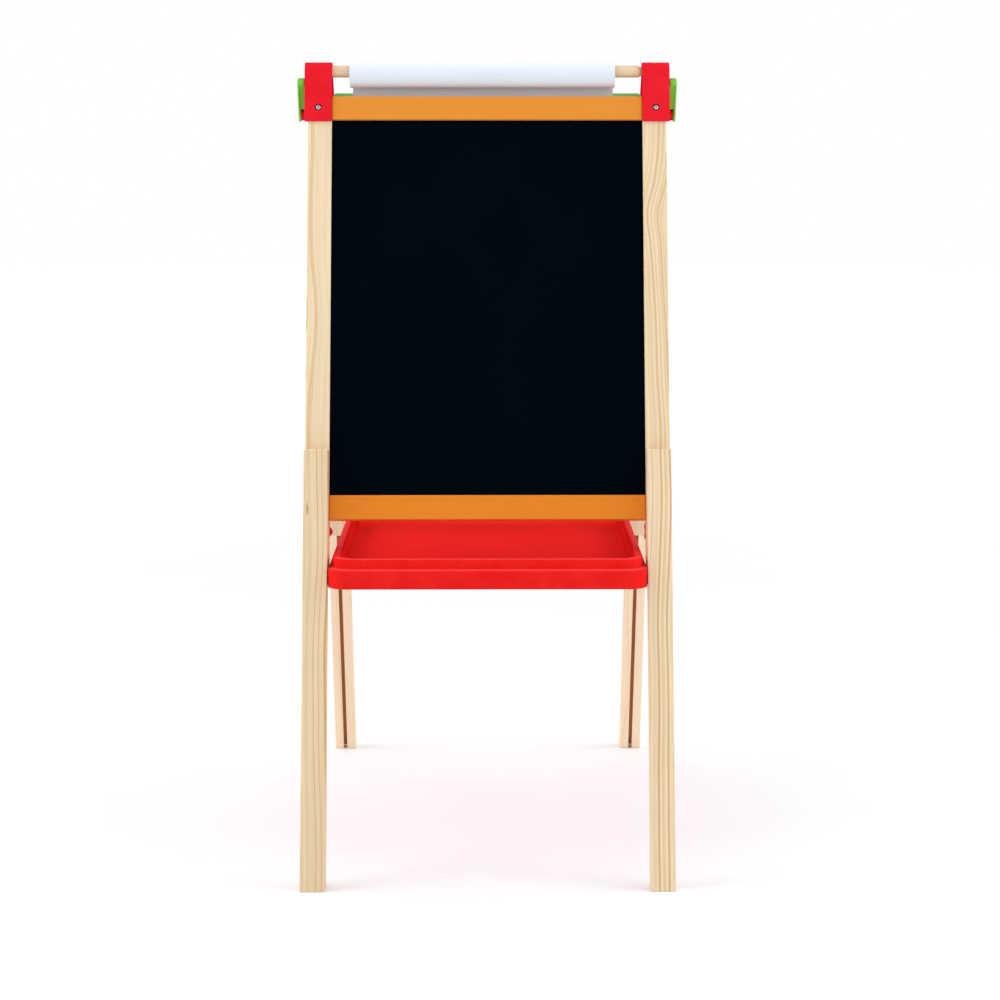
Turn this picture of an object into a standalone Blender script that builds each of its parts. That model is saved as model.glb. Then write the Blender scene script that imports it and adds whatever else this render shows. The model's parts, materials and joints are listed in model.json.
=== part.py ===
"""Child's double-sided wooden easel: two hinged frames, four sliding legs, a tray and a paper roll.

Metres, +Z up. The origin is on the floor, midway between the four feet; the chalkboard faces -Y.
Each frame is drawn upright about the hinge line and then leaned back by its parent empty. Inside a
frame a point is (across, out, up): across is X, out is the distance from the hinge's plane towards
the board's face, and up is measured along the slope from the hinge line.
"""

import math

import bmesh
import bpy
from mathutils import Matrix, Vector

# Stance of the open easel
LEAN = math.radians(16.07)
PIVOT_HEIGHT = 0.9795
HALF_WIDTH = 0.240
GAP = 0.0003

# Timber, the same section for stiles, rails and legs
TIMBER_WIDE = 0.032
TIMBER_THICK = 0.0205
TIMBER_ROUNDING = 0.0014
FRAME_IN = 0.01115
FRAME_OUT = FRAME_IN + TIMBER_THICK
LEG_IN = FRAME_OUT + GAP
LEG_OUT = LEG_IN + TIMBER_THICK
STILE_CENTRE = HALF_WIDTH - TIMBER_WIDE / 2
STILE_INSIDE = HALF_WIDTH - TIMBER_WIDE
STILE_TOP = 0.014
STILE_BOTTOM = -0.6437
RAIL_HALF_LENGTH = STILE_INSIDE - GAP
TOP_RAIL = {"front": (-0.0164, 0.0159), "back": (-0.0109, 0.0214)}
BOTTOM_RAIL = (-0.5545, -0.5222)
LEG_TOP = -0.4642

# Writing panels, held in grooves round their edges
PANEL_THICK = 0.004
PANEL_SETBACK = 0.005
GROOVE_DEPTH = 0.005
GROOVE_OVERRUN = 0.004
PANEL_OUT = FRAME_OUT - PANEL_SETBACK

# T-slot down each leg, with the clamp bolt that runs in it
SLOT_MOUTH = 0.0055
SLOT_MOUTH_DEPTH = 0.006
SLOT_WIDE = 0.0112
SLOT_DEPTH = 0.0115
SLOT_TOP_MARGIN = 0.020
CLAMP_UP = -0.5667
BOLT_RADIUS = 0.0024
BOLT_HEAD_RADIUS = 0.0047
BOLT_HEAD_THICK = 0.0036
STOP_PIN_RADIUS = 0.0012
STOP_PIN_HALF_LENGTH = 0.0079
STOP_PIN_ABOVE_FOOT = 0.0055

# Clamp knob
KNOB_LOBES = 5
KNOB_RADIUS = 0.0170
KNOB_LOBE = 0.0016
KNOB_THICK = 0.012
KNOB_HUB_RADIUS = 0.009
KNOB_HUB_LENGTH = 0.0077
KNOB_TURN = {"L": math.pi, "R": 0.0}
BOLT_TIP = FRAME_IN - KNOB_HUB_LENGTH - 0.009

# Red hinge cap: a profile round the stile's top with a barrel for the dowel
CAP_INSIDE = 0.2080
CAP_OUTSIDE = 0.2448
CAP_WALL = 0.00265
CAP_BOTTOM = -0.0195
CAP_SKIRT_Z = 1.0048
CAP_REAR_Y = 0.0200
CAP_RADIUS = 0.0122
CAP_SPLAY = 34
CAP_ROUNDING = 0.0010
EAR_INSIDE = 0.2427
EAR_RADIUS = 0.0095
EAR_REACH = 0.012
BOSS_RADIUS = 0.00785
BOSS_END = 0.2506

# The screws that hold the mouldings to the stiles, and the pivots
FACE_SCREW_X = 0.226
FACE_SCREW_UP = 0.0
FACE_SCREW_RADIUS = 0.0018
FACE_SCREW_HEAD = 0.0034
FACE_SCREW_SEAT_RADIUS = 0.0046
FACE_SCREW_SEAT_DEPTH = 0.0022
FACE_SCREW_TIP = FRAME_IN + 0.004
PIVOT_RADIUS = 0.0022
PIVOT_HEAD = 0.0039
PIVOT_SEAT_RADIUS = 0.0047

# Dowel and roll
DOWEL_Y = -0.0065
DOWEL_Z = 1.0363
DOWEL_RADIUS = 0.0078
SPIGOT_RADIUS = 0.0052
SPIGOT_LENGTH = 0.015
SPIGOT_ROUNDING = 0.001
CHAMFER = 0.0048
DOWEL_LEFT = -0.232
DOWEL_RIGHT = 0.2226
DOWEL_PLAY = 0.0004
COUNTERBORE_DEPTH = 0.012
CAP_BORE_END = 0.2405
ROLL_X = (-0.1846, 0.1714)
ROLL_RADIUS = 0.0170
CORE_IN = 0.01235
CORE_OUT = 0.0142
CORE_SHORTER = 0.0006
TAIL_X = (-0.1816, 0.1700)
TAIL_THICK = 0.0004
TAIL_LENGTH = 0.150
TAIL_LEAVES_AT = 70
TAIL_KICK = 9
TAIL_CURL = 0.30

# Green hinge housing on the back frame
HOUSING_OUTSIDE = 0.2548
HOUSING_SKIRT_INSIDE = 0.2453
HOUSING_WALL = 0.0033
HOOD_LINING = 0.0042
HOUSING_SOCKET_WALL = 0.0021
HOUSING_TAPER = 0.008
HOUSING_BOTTOM = -0.0074
HOUSING_TOP = 0.0175
HOOD_FRONT = -0.0098
HOOD_CENTRE = (0.0045, 0.0365)
HOOD_RADIUS = 0.0120
HOOD_BROW = 0.0060
HOOD_FACE_WALL = 0.0018
HOOD_FACE_SUNK = 0.0012
HOOD_FACE_EDGE = 0.0022
HOOD_FACE_BOTTOM = 0.0095

# Rail screws, from the stile's edge into the rail's end
RAIL_SCREW_RADIUS = 0.0022
RAIL_SCREW_HEAD = 0.0038
RAIL_SCREW_HEAD_THICK = 0.0028
RAIL_SCREW_TIP = 0.182
RAIL_SCREW_UP = {"top": 0.0070, "bottom": -0.5390}
CROSS_HALF_WIDE = 0.00055
CROSS_DEPTH = 0.0014

# Tray, hung on pins in the stiles
TRAY_HALF_X = 0.2074
TRAY_HALF_Y = 0.242
TRAY_BOTTOM = 0.374
TRAY_LEDGE = 0.3985
TRAY_RIM = 0.4118
TRAY_FLOOR = 0.385
TRAY_WALL = 0.0026
TRAY_CORNER = 0.024
RIM_INSET_X = 0.006
RIM_INSET_Y = 0.009
RIM_WIDE = 0.0085
RIM_CORNER = 0.016
WELL_CORNER = 0.0090
TRAY_ROUNDING = 0.0016
REBATE_START = 0.014
TRAY_PIN_RADIUS = 0.0025
TRAY_PIN_OUT = 0.0214
TRAY_PIN_UP = -0.620
TRAY_PIN_TIP = 0.1965
TRAY_PIN_END = STILE_INSIDE + 0.0215
TRAY_PIN_NOSE = 0.0005
BUSH_RADIUS = 0.0047
BUSH_BORE = 0.0028

# Paper clamp on the back frame
GUIDE_HALF_LENGTH = 0.2
GUIDE_OUT = (FRAME_OUT + 0.0009, FRAME_OUT + 0.0049)
GUIDE_UP = (-0.0120, 0.0090)
GUIDE_KNOB_X = 0.1885
GUIDE_KNOB_UP = 0.0
GUIDE_KNOB_RADIUS = 0.0115
GUIDE_STUD_RADIUS = 0.0018
GUIDE_STUD_START = FRAME_IN + 0.006
GUIDE_STUD_REACH = 0.008

# How far a cutter runs past the surface that it cuts, and the sides of round shapes
PAST = 0.01
ROUND = 24
SMALL_ROUND = 12

SIDES = {"L": -1, "R": 1}
FACINGS = {"front": -1, "back": 1}

# Name: (red, green, blue), roughness, metallic
FINISHES = {
    "pine": ((0.80, 0.66, 0.44), 0.55, 0.0),
    "orange_paint": ((0.80, 0.26, 0.03), 0.4, 0.0),
    "green_paint": ((0.16, 0.50, 0.12), 0.4, 0.0),
    "chalkboard": ((0.006, 0.008, 0.011), 0.6, 0.0),
    "whiteboard": ((0.90, 0.91, 0.92), 0.15, 0.0),
    "red_plastic": ((0.82, 0.015, 0.025), 0.3, 0.0),
    "green_plastic": ((0.17, 0.55, 0.08), 0.35, 0.0),
    "blue_plastic": ((0.10, 0.50, 0.70), 0.3, 0.0),
    "zinc_steel": ((0.62, 0.64, 0.67), 0.3, 1.0),
    "cardboard": ((0.42, 0.30, 0.18), 0.9, 0.0),
    "paper": ((0.88, 0.89, 0.90), 0.85, 0.0),
}


def make_materials():
    made = {}
    for name, (colour, roughness, metallic) in FINISHES.items():
        material = bpy.data.materials.new(name)
        material.use_nodes = True
        shader = material.node_tree.nodes["Principled BSDF"]
        shader.inputs["Base Color"].default_value = (*colour, 1)
        shader.inputs["Roughness"].default_value = roughness
        shader.inputs["Metallic"].default_value = metallic
        made[name] = material
    return made


# ---- Solids as bmeshes ----


def prism(outline, axis, low, high):
    """A 2-D outline stretched from low to high along axis: its points are the other two axes in order."""
    mesh = bmesh.new()
    others = [k for k in range(3) if k != axis]
    corners = []
    for point in outline:
        place = [0.0, 0.0, 0.0]
        place[axis] = low
        place[others[0]], place[others[1]] = point
        corners.append(mesh.verts.new(place))
    base = mesh.faces.new(corners)
    grown = bmesh.ops.extrude_face_region(mesh, geom=[base])
    moved = [item for item in grown["geom"] if isinstance(item, bmesh.types.BMVert)]
    shift = Vector([0.0, 0.0, 0.0])
    shift[axis] = high - low
    bmesh.ops.translate(mesh, verts=moved, vec=shift)
    bmesh.ops.recalc_face_normals(mesh, faces=mesh.faces)
    return mesh


def block(across, out, up):
    outline = [(across[0], out[0]), (across[1], out[0]), (across[1], out[1]), (across[0], out[1])]
    return prism(outline, 2, up[0], up[1])


def spun(profile, axis, centre, segments, closed):
    """Rings of points round a line along axis, joined by quads: profile is (place along axis, radius) pairs."""
    mesh = bmesh.new()
    others = [k for k in range(3) if k != axis]
    rings = []
    for along, radius in profile:
        ring = []
        for step in range(segments):
            angle = 2 * math.pi * step / segments
            place = [0.0, 0.0, 0.0]
            place[axis] = along
            place[others[0]] = centre[0] + radius * math.cos(angle)
            place[others[1]] = centre[1] + radius * math.sin(angle)
            ring.append(mesh.verts.new(place))
        rings.append(ring)
    if closed:
        pairs = zip(rings, rings[1:] + rings[:1])
    else:
        mesh.faces.new(rings[0])
        mesh.faces.new(rings[-1])
        pairs = zip(rings, rings[1:])
    for first, second in pairs:
        for step in range(segments):
            after = (step + 1) % segments
            mesh.faces.new((first[step], first[after], second[after], second[step]))
    bmesh.ops.recalc_face_normals(mesh, faces=mesh.faces)
    return mesh


def turned(profile, axis, centre, segments=ROUND):
    """A solid of revolution with flat ends."""
    return spun(profile, axis, centre, segments, closed=False)


def rod(axis, low, high, radius, centre=(0.0, 0.0), segments=SMALL_ROUND):
    return turned([(low, radius), (high, radius)], axis, centre, segments)


def tube(axis, low, high, inner, outer, centre=(0.0, 0.0), segments=ROUND):
    """A hollow cylinder with square ends."""
    profile = [(low, outer), (high, outer), (high, inner), (low, inner)]
    return spun(profile, axis, centre, segments, closed=True)


def arc(centre, radius, start, end, steps):
    """Points on a circle from one angle to another, in degrees."""
    points = []
    for step in range(steps + 1):
        angle = math.radians(start + (end - start) * step / steps)
        points.append((centre[0] + radius * math.cos(angle), centre[1] + radius * math.sin(angle)))
    return points


def rounded_rectangle(half_x, half_y, radius, steps=5):
    points = []
    for corner, (sign_x, sign_y) in enumerate(((1, 1), (-1, 1), (-1, -1), (1, -1))):
        centre = (sign_x * (half_x - radius), sign_y * (half_y - radius))
        points += arc(centre, radius, 90 * corner, 90 * corner + 90, steps)
    return points


# ---- Objects ----


def put(name, mesh, finish, parent=None, origin=(0, 0, 0), mirror=(1, 1, 1)):
    """A named object from a bmesh. mirror flips axes, for left and right or front and back copies."""
    data = bpy.data.meshes.new(name)
    flip = Matrix.Diagonal((*mirror, 1))
    bmesh.ops.transform(mesh, matrix=flip, verts=mesh.verts)
    bmesh.ops.recalc_face_normals(mesh, faces=mesh.faces)
    bmesh.ops.translate(mesh, verts=mesh.verts, vec=-Vector(origin))
    mesh.to_mesh(data)
    mesh.free()
    data.materials.append(materials[finish])
    data.shade_smooth()
    data.set_sharp_from_angle(angle=math.radians(35))
    obj = bpy.data.objects.new(name, data)
    bpy.context.scene.collection.objects.link(obj)
    obj.location = origin
    obj.parent = parent
    return obj


def rounded(obj, width=TIMBER_ROUNDING, segments=2, angle=50):
    bevel = obj.modifiers.new("edges", "BEVEL")
    bevel.width = width
    bevel.segments = segments
    bevel.limit_method = "ANGLE"
    bevel.angle_limit = math.radians(angle)
    return obj


def combine(obj, operation, pieces, mirror=(1, 1, 1)):
    """Cuts or joins bmesh pieces, drawn in the same space as obj's own mesh was, through hidden helpers."""
    for piece in pieces:
        helper = put(f"{obj.name}_{operation.lower()}", piece, "pine", obj.parent, obj.location, mirror)
        helper.hide_render = True
        helper.display_type = "WIRE"
        boolean = obj.modifiers.new(operation.lower(), "BOOLEAN")
        boolean.operation = operation
        boolean.object = helper
    return obj


def cut(obj, pieces, mirror=(1, 1, 1)):
    return combine(obj, "DIFFERENCE", pieces, mirror)


def join(obj, pieces, mirror=(1, 1, 1)):
    return combine(obj, "UNION", pieces, mirror)


def empty(name, location, parent=None, lean=0.0):
    obj = bpy.data.objects.new(name, None)
    bpy.context.scene.collection.objects.link(obj)
    obj.location = location
    obj.rotation_euler.x = lean
    obj.parent = parent
    obj.empty_display_size = 0.03
    return obj


# ---- Places ----


def slope_place(y, z):
    """(out, up) on the front frame of a point in the upright world."""
    rise = z - PIVOT_HEIGHT
    out = rise * math.sin(LEAN) - y * math.cos(LEAN)
    up = rise * math.cos(LEAN) + y * math.sin(LEAN)
    return out, up


def world_place(out, up):
    """(y, z) in the world of a point on the front frame."""
    y = up * math.sin(LEAN) - out * math.cos(LEAN)
    z = PIVOT_HEIGHT + up * math.cos(LEAN) + out * math.sin(LEAN)
    return y, z


def level_up(out, z):
    """Where the level z cuts a line along the slope."""
    return (z - PIVOT_HEIGHT - out * math.sin(LEAN)) / math.cos(LEAN)


def floor_up(out):
    return level_up(out, 0.0)


# ---- Frames ----


def stile(name, facing, side, panel_top, parent):
    mirror = (side, facing, 1)
    across = (STILE_INSIDE, HALF_WIDTH)
    obj = put(name, block(across, (FRAME_IN, FRAME_OUT), (STILE_BOTTOM, STILE_TOP)), "pine", parent,
              mirror=mirror)
    rounded(obj)
    groove_out = (PANEL_OUT - PANEL_THICK - GAP, PANEL_OUT + GAP)
    groove_up = (BOTTOM_RAIL[1] - GROOVE_DEPTH - GROOVE_OVERRUN, panel_top + GROOVE_DEPTH + GROOVE_OVERRUN)
    pin_hole = (STILE_INSIDE - PAST, TRAY_PIN_END + 0.0005)
    cutters = [
        block((STILE_INSIDE - PAST, STILE_INSIDE + GROOVE_DEPTH), groove_out, groove_up),
        rod(1, FRAME_IN - PAST, FRAME_OUT + PAST, BOLT_RADIUS + GAP, (STILE_CENTRE, CLAMP_UP)),
        rod(1, FACE_SCREW_TIP - 0.001, FRAME_OUT + PAST, FACE_SCREW_RADIUS + GAP, (FACE_SCREW_X, FACE_SCREW_UP)),
        rod(0, *pin_hole, TRAY_PIN_RADIUS + GAP, (TRAY_PIN_OUT, TRAY_PIN_UP)),
    ]
    for up in RAIL_SCREW_UP.values():
        centre = (TRAY_PIN_OUT, up)
        head_seat = HALF_WIDTH - RAIL_SCREW_HEAD_THICK - 0.0008
        cutters.append(rod(0, STILE_INSIDE - PAST, HALF_WIDTH + PAST, RAIL_SCREW_RADIUS + GAP, centre))
        cutters.append(rod(0, head_seat, HALF_WIDTH + PAST, RAIL_SCREW_HEAD + GAP, centre))
    return cut(obj, cutters, mirror)


def rail(name, facing, up, panel_edge, screw_up, finish, parent):
    mirror = (1, facing, 1)
    obj = put(name, block((-RAIL_HALF_LENGTH, RAIL_HALF_LENGTH), (FRAME_IN, FRAME_OUT), up), finish, parent,
              mirror=mirror)
    rounded(obj)
    groove_out = (PANEL_OUT - PANEL_THICK - GAP, PANEL_OUT + GAP)
    inward = -1 if panel_edge == up[1] else 1
    groove_up = sorted((panel_edge - PAST * inward, panel_edge + GROOVE_DEPTH * inward))
    cutters = [block((-HALF_WIDTH, HALF_WIDTH), groove_out, groove_up)]
    for side in SIDES.values():
        ends = sorted((side * (RAIL_SCREW_TIP - 0.001), side * (RAIL_HALF_LENGTH + PAST)))
        cutters.append(rod(0, *ends, RAIL_SCREW_RADIUS + GAP, (TRAY_PIN_OUT, screw_up)))
    return cut(obj, cutters, mirror)


def panel(name, facing, top, finish, parent):
    reach = GROOVE_DEPTH - GAP
    half = STILE_INSIDE + reach
    up = (BOTTOM_RAIL[1] - reach, top + reach)
    mesh = block((-half, half), (PANEL_OUT - PANEL_THICK, PANEL_OUT), up)
    return put(name, mesh, finish, parent, mirror=(1, facing, 1))


def rail_screw(name, facing, side, up, parent):
    head_top = HALF_WIDTH - GAP
    head_base = head_top - RAIL_SCREW_HEAD_THICK
    profile = [(RAIL_SCREW_TIP, 0.0006), (RAIL_SCREW_TIP + 0.006, RAIL_SCREW_RADIUS),
               (head_base - 0.0004, RAIL_SCREW_RADIUS), (head_base, RAIL_SCREW_HEAD), (head_top, RAIL_SCREW_HEAD)]
    mesh = turned(profile, 0, (TRAY_PIN_OUT, up), SMALL_ROUND)
    mirror = (side, facing, 1)
    obj = put(name, mesh, "zinc_steel", parent, mirror=mirror)
    return cut(obj, [cross_recess(0, head_top, (TRAY_PIN_OUT, up), 0.0022)], mirror)


def cross_recess(axis, face, centre, reach):
    """A cross-shaped driver recess, sunk below a screw head's face that points along +axis."""
    half = CROSS_HALF_WIDE
    outline = []
    for turn in range(4):
        angle = turn * math.pi / 2
        for along, beside in ((half, -half), (reach, -half), (reach, half)):
            outline.append((centre[0] + along * math.cos(angle) - beside * math.sin(angle),
                            centre[1] + along * math.sin(angle) + beside * math.cos(angle)))
    return prism(outline, axis, face - CROSS_DEPTH, face + PAST)


def tray_pin(name, facing, side, parent):
    profile = [(TRAY_PIN_TIP, TRAY_PIN_RADIUS - TRAY_PIN_NOSE), (TRAY_PIN_TIP + TRAY_PIN_NOSE, TRAY_PIN_RADIUS),
               (TRAY_PIN_END, TRAY_PIN_RADIUS)]
    mesh = turned(profile, 0, (TRAY_PIN_OUT, TRAY_PIN_UP), SMALL_ROUND)
    return put(name, mesh, "zinc_steel", parent, mirror=(side, facing, 1))


def clamp_bolt(name, facing, side, parent):
    head = LEG_IN + SLOT_MOUTH_DEPTH + GAP
    profile = [(BOLT_TIP, BOLT_RADIUS), (head, BOLT_RADIUS),
               (head, BOLT_HEAD_RADIUS), (head + BOLT_HEAD_THICK, BOLT_HEAD_RADIUS - 0.0006)]
    mesh = turned(profile, 1, (STILE_CENTRE, CLAMP_UP), SMALL_ROUND)
    return put(name, mesh, "zinc_steel", parent, mirror=(side, facing, 1))


def frame_parts(where, facing, parent, paint, board):
    for letter, side in SIDES.items():
        stile(f"{where}_stile_{letter}", facing, side, TOP_RAIL[where][0], parent)
        tray_pin(f"{where}_tray_pin_{letter}", facing, side, parent)
        clamp_bolt(f"{where}_clamp_bolt_{letter}", facing, side, parent)
        for level, up in RAIL_SCREW_UP.items():
            rail_screw(f"{where}_{level}_rail_screw_{letter}", facing, side, up, parent)
    top = TOP_RAIL[where]
    rail(f"{where}_top_rail", facing, top, top[0], RAIL_SCREW_UP["top"], paint, parent)
    rail(f"{where}_bottom_rail", facing, BOTTOM_RAIL, BOTTOM_RAIL[1], RAIL_SCREW_UP["bottom"], paint, parent)
    panel(board, facing, top[0], board, parent)


# ---- Legs and knobs ----


def leg(where, facing, letter, side, frame):
    origin = (side * STILE_CENTRE, facing * LEG_IN, CLAMP_UP)
    mirror = (side, facing, 1)
    name = f"{where}_leg_{letter}"
    outline = [(LEG_IN, LEG_TOP), (LEG_OUT, LEG_TOP), (LEG_OUT, floor_up(LEG_OUT)), (LEG_IN, floor_up(LEG_IN))]
    obj = put(name, prism(outline, 0, STILE_INSIDE, HALF_WIDTH), "pine", frame, origin, mirror)
    rounded(obj)
    slot_up = (floor_up(LEG_OUT) - PAST, LEG_TOP - SLOT_TOP_MARGIN)
    mouth = (STILE_CENTRE - SLOT_MOUTH / 2, STILE_CENTRE + SLOT_MOUTH / 2)
    wide = (STILE_CENTRE - SLOT_WIDE / 2, STILE_CENTRE + SLOT_WIDE / 2)
    pin_centre = (LEG_IN + SLOT_MOUTH_DEPTH / 2, floor_up(LEG_IN) + STOP_PIN_ABOVE_FOOT)
    pin_half = STOP_PIN_HALF_LENGTH
    cut(obj, [
        block(mouth, (LEG_IN - PAST, LEG_IN + SLOT_MOUTH_DEPTH + 0.001), slot_up),
        block(wide, (LEG_IN + SLOT_MOUTH_DEPTH, LEG_IN + SLOT_DEPTH), slot_up),
        rod(0, STILE_CENTRE - pin_half - GAP, STILE_CENTRE + pin_half + GAP, STOP_PIN_RADIUS + GAP, pin_centre),
    ], mirror)
    pin = rod(0, STILE_CENTRE - pin_half, STILE_CENTRE + pin_half, STOP_PIN_RADIUS, pin_centre)
    put(f"{where}_leg_stop_pin_{letter}", pin, "zinc_steel", frame, origin, mirror)


def lobed_outline(centre, turn):
    """A wavy circle with one lobe pointing away from the easel's middle, then turned."""
    points = []
    steps = KNOB_LOBES * 6
    for step in range(steps):
        angle = 2 * math.pi * step / steps
        radius = KNOB_RADIUS + KNOB_LOBE * math.cos(KNOB_LOBES * (angle - turn))
        points.append((centre[0] + radius * math.cos(angle), centre[1] + radius * math.sin(angle)))
    return points


def clamp_knob(where, facing, letter, side, frame):
    centre = (STILE_CENTRE, CLAMP_UP)
    hub_face = FRAME_IN - GAP
    grip_face = hub_face - KNOB_HUB_LENGTH
    grip_end = grip_face - KNOB_THICK
    mirror = (side, facing, 1)
    origin = (side * STILE_CENTRE, facing * hub_face, CLAMP_UP)
    grip = prism(lobed_outline(centre, KNOB_TURN[letter]), 1, grip_end, grip_face)
    obj = put(f"{where}_knob_{letter}", grip, "red_plastic", frame, origin, mirror)
    rounded(obj, width=0.0016, segments=1, angle=60)
    join(obj, [rod(1, grip_face - 0.001, hub_face, KNOB_HUB_RADIUS, centre, 20)], mirror)
    cut(obj, [rod(1, BOLT_TIP - 0.0005, hub_face + PAST, BOLT_RADIUS + GAP, centre)], mirror)


# ---- Red hinge caps ----


def cap_outline():
    """Side view of a cap on the slope: straight front, barrel round the dowel, splayed back, stile slot's wall."""
    centre = slope_place(DOWEL_Y, DOWEL_Z)
    front = FRAME_OUT + CAP_WALL
    lean = math.degrees(LEAN)
    barrel = arc(centre, CAP_RADIUS, 0, 180 + CAP_SPLAY - lean, 12)
    foot_back = slope_place(CAP_REAR_Y, CAP_SKIRT_Z)
    inner_wall = FRAME_IN - CAP_WALL
    foot_z = world_place(front, CAP_BOTTOM)[1]
    skirt_up = level_up(inner_wall, CAP_SKIRT_Z)
    foot_up = level_up(inner_wall, foot_z)
    return [(front, CAP_BOTTOM)] + barrel + [foot_back, (inner_wall, skirt_up), (inner_wall, foot_up)]


def hinge_cap(letter, side, parent):
    mirror = (side, -1, 1)
    dowel = slope_place(DOWEL_Y, DOWEL_Z)
    obj = put(f"hinge_cap_{letter}", prism(cap_outline(), 0, CAP_INSIDE, CAP_OUTSIDE), "red_plastic", parent,
              mirror=mirror)
    rounded(obj, width=CAP_ROUNDING, segments=2, angle=60)
    ear = [(EAR_REACH, -EAR_RADIUS), (EAR_REACH, EAR_RADIUS)] + arc((0.0, 0.0), EAR_RADIUS, 90, 270, 10)
    join(obj, [
        prism(ear, 0, EAR_INSIDE, CAP_OUTSIDE - 0.0004),
        rod(0, CAP_OUTSIDE - 0.001, BOSS_END, BOSS_RADIUS, segments=ROUND),
    ], mirror)
    cut(obj, [
        stile_socket((CAP_INSIDE, HALF_WIDTH), CAP_BOTTOM - PAST),
        rod(0, CAP_INSIDE - PAST, CAP_INSIDE + COUNTERBORE_DEPTH, DOWEL_RADIUS + DOWEL_PLAY, dowel, ROUND),
        rod(0, CAP_INSIDE, CAP_BORE_END, SPIGOT_RADIUS + DOWEL_PLAY, dowel, SMALL_ROUND),
        rod(0, EAR_INSIDE - PAST, BOSS_END + PAST, PIVOT_RADIUS + GAP),
    ] + face_screw_hole(FRAME_OUT + CAP_WALL), mirror)


def stile_socket(across, bottom):
    """The space in a moulding that a stile's top pushes into."""
    return block((across[0] - PAST, across[1] + GAP), (FRAME_IN - GAP, FRAME_OUT + GAP), (bottom, STILE_TOP + GAP))


def face_screw_hole(surface):
    """A clearance hole and a round seat for a face screw, sunk from a moulding's outer surface."""
    centre = (FACE_SCREW_X, FACE_SCREW_UP)
    end = surface + PAST
    return [rod(1, FRAME_OUT - 0.004, end, FACE_SCREW_RADIUS + GAP, centre),
            rod(1, surface - FACE_SCREW_SEAT_DEPTH, end, FACE_SCREW_SEAT_RADIUS, centre, 20)]


def pan_head(tip, base, radius, head):
    """The profile of a pan-head screw, from its tip to its crown, with its head's underside at base."""
    return [(tip, 0.0005), (tip + 0.005, radius), (base, radius), (base, head), (base + 0.0010, head),
            (base + 0.0019, head * 2 / 3)]


def face_screw(name, facing, side, surface, parent):
    """A pan-head screw through a moulding's outer surface, driven square into a stile."""
    centre = (FACE_SCREW_X, FACE_SCREW_UP)
    base = surface - FACE_SCREW_SEAT_DEPTH + GAP
    profile = pan_head(FACE_SCREW_TIP, base, FACE_SCREW_RADIUS, FACE_SCREW_HEAD)
    mirror = (side, facing, 1)
    obj = put(name, turned(profile, 1, centre, SMALL_ROUND), "zinc_steel", parent, mirror=mirror)
    return cut(obj, [cross_recess(1, profile[-1][0], centre, 0.0019)], mirror)


# ---- Green hinge housings ----


def hood_outline():
    """Side view of a housing's cheek: square at the stile, with a round hood above the pivot."""
    back = FRAME_OUT + HOUSING_WALL
    brow_centre = (HOOD_FRONT + HOOD_BROW, HOOD_CENTRE[1] + HOOD_RADIUS - HOOD_BROW)
    outline = [(HOOD_FRONT, HOUSING_BOTTOM), (back, HOUSING_BOTTOM), (back, HOUSING_TOP - 0.002)]
    return outline + arc(HOOD_CENTRE, HOOD_RADIUS, 35, 90, 6) + arc(brow_centre, HOOD_BROW, 90, 180, 5)


def hood_hollow():
    """Side view of the space inside a cheek, open at the front below the hood's face, round the pivot boss."""
    back = FRAME_OUT + HOUSING_WALL - HOOD_LINING
    face = HOOD_FRONT + HOOD_FACE_SUNK + HOOD_FACE_WALL
    ceiling = HOOD_CENTRE[1] + HOOD_RADIUS - HOOD_LINING
    open_front = HOOD_FRONT - PAST
    floor = HOUSING_BOTTOM - PAST
    outline = [(open_front, floor), (back, floor), (back, HOUSING_TOP - 0.002 - HOOD_LINING / 2)]
    outline += arc(HOOD_CENTRE, HOOD_RADIUS - HOOD_LINING, 35, 90, 6)
    return outline + [(face + 0.003, ceiling), (face, ceiling - 0.003), (face, HOOD_FACE_BOTTOM),
                      (open_front, HOOD_FACE_BOTTOM)]


def taper(mesh):
    """Draws a cheek's outer side in towards the bottom."""
    crown = HOOD_CENTRE[1] + HOOD_RADIUS
    for vert in mesh.verts:
        if vert.co.x > HOUSING_SKIRT_INSIDE + 0.004:
            vert.co.x -= (crown - vert.co.z) * HOUSING_TAPER
    return mesh


def hinge_housing(letter, side, parent):
    mirror = (side, 1, 1)
    outside = HOUSING_OUTSIDE
    obj = put(f"hinge_housing_{letter}", taper(prism(hood_outline(), 0, HOUSING_SKIRT_INSIDE, outside)),
              "green_plastic", parent, mirror=mirror)
    rounded(obj, width=0.0012, segments=2, angle=40)
    hollow = taper(prism(hood_hollow(), 0, HOUSING_SKIRT_INSIDE - PAST, outside - HOUSING_WALL))
    sunk_face = taper(block((HOUSING_SKIRT_INSIDE - PAST, outside - HOOD_FACE_EDGE),
                            (HOOD_FRONT - PAST, HOOD_FRONT + HOOD_FACE_SUNK),
                            (HOOD_FACE_BOTTOM - PAST, HOOD_CENTRE[1] + HOOD_RADIUS - HOOD_BROW)))
    cut(obj, [hollow, sunk_face], mirror)
    socket_side = HALF_WIDTH + GAP + HOUSING_SOCKET_WALL
    outer_wall = FRAME_OUT + HOUSING_WALL
    join(obj, [
        block((STILE_INSIDE, socket_side), (FRAME_IN - CAP_WALL, outer_wall - 0.0004), (HOUSING_BOTTOM, HOUSING_TOP)),
        block((socket_side - 0.001, HOUSING_SKIRT_INSIDE + 0.002), (FRAME_OUT - 0.002, outer_wall - 0.0004),
              (HOUSING_BOTTOM, HOUSING_TOP - 0.003)),
    ], mirror)
    cut(obj, [
        stile_socket((STILE_INSIDE, HALF_WIDTH), HOUSING_BOTTOM - PAST),
        rod(0, EAR_INSIDE, outside + PAST, PIVOT_RADIUS + GAP),
        rod(0, pivot_seat(), outside + PAST, PIVOT_SEAT_RADIUS, segments=20),
    ] + face_screw_hole(outer_wall), mirror)


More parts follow.
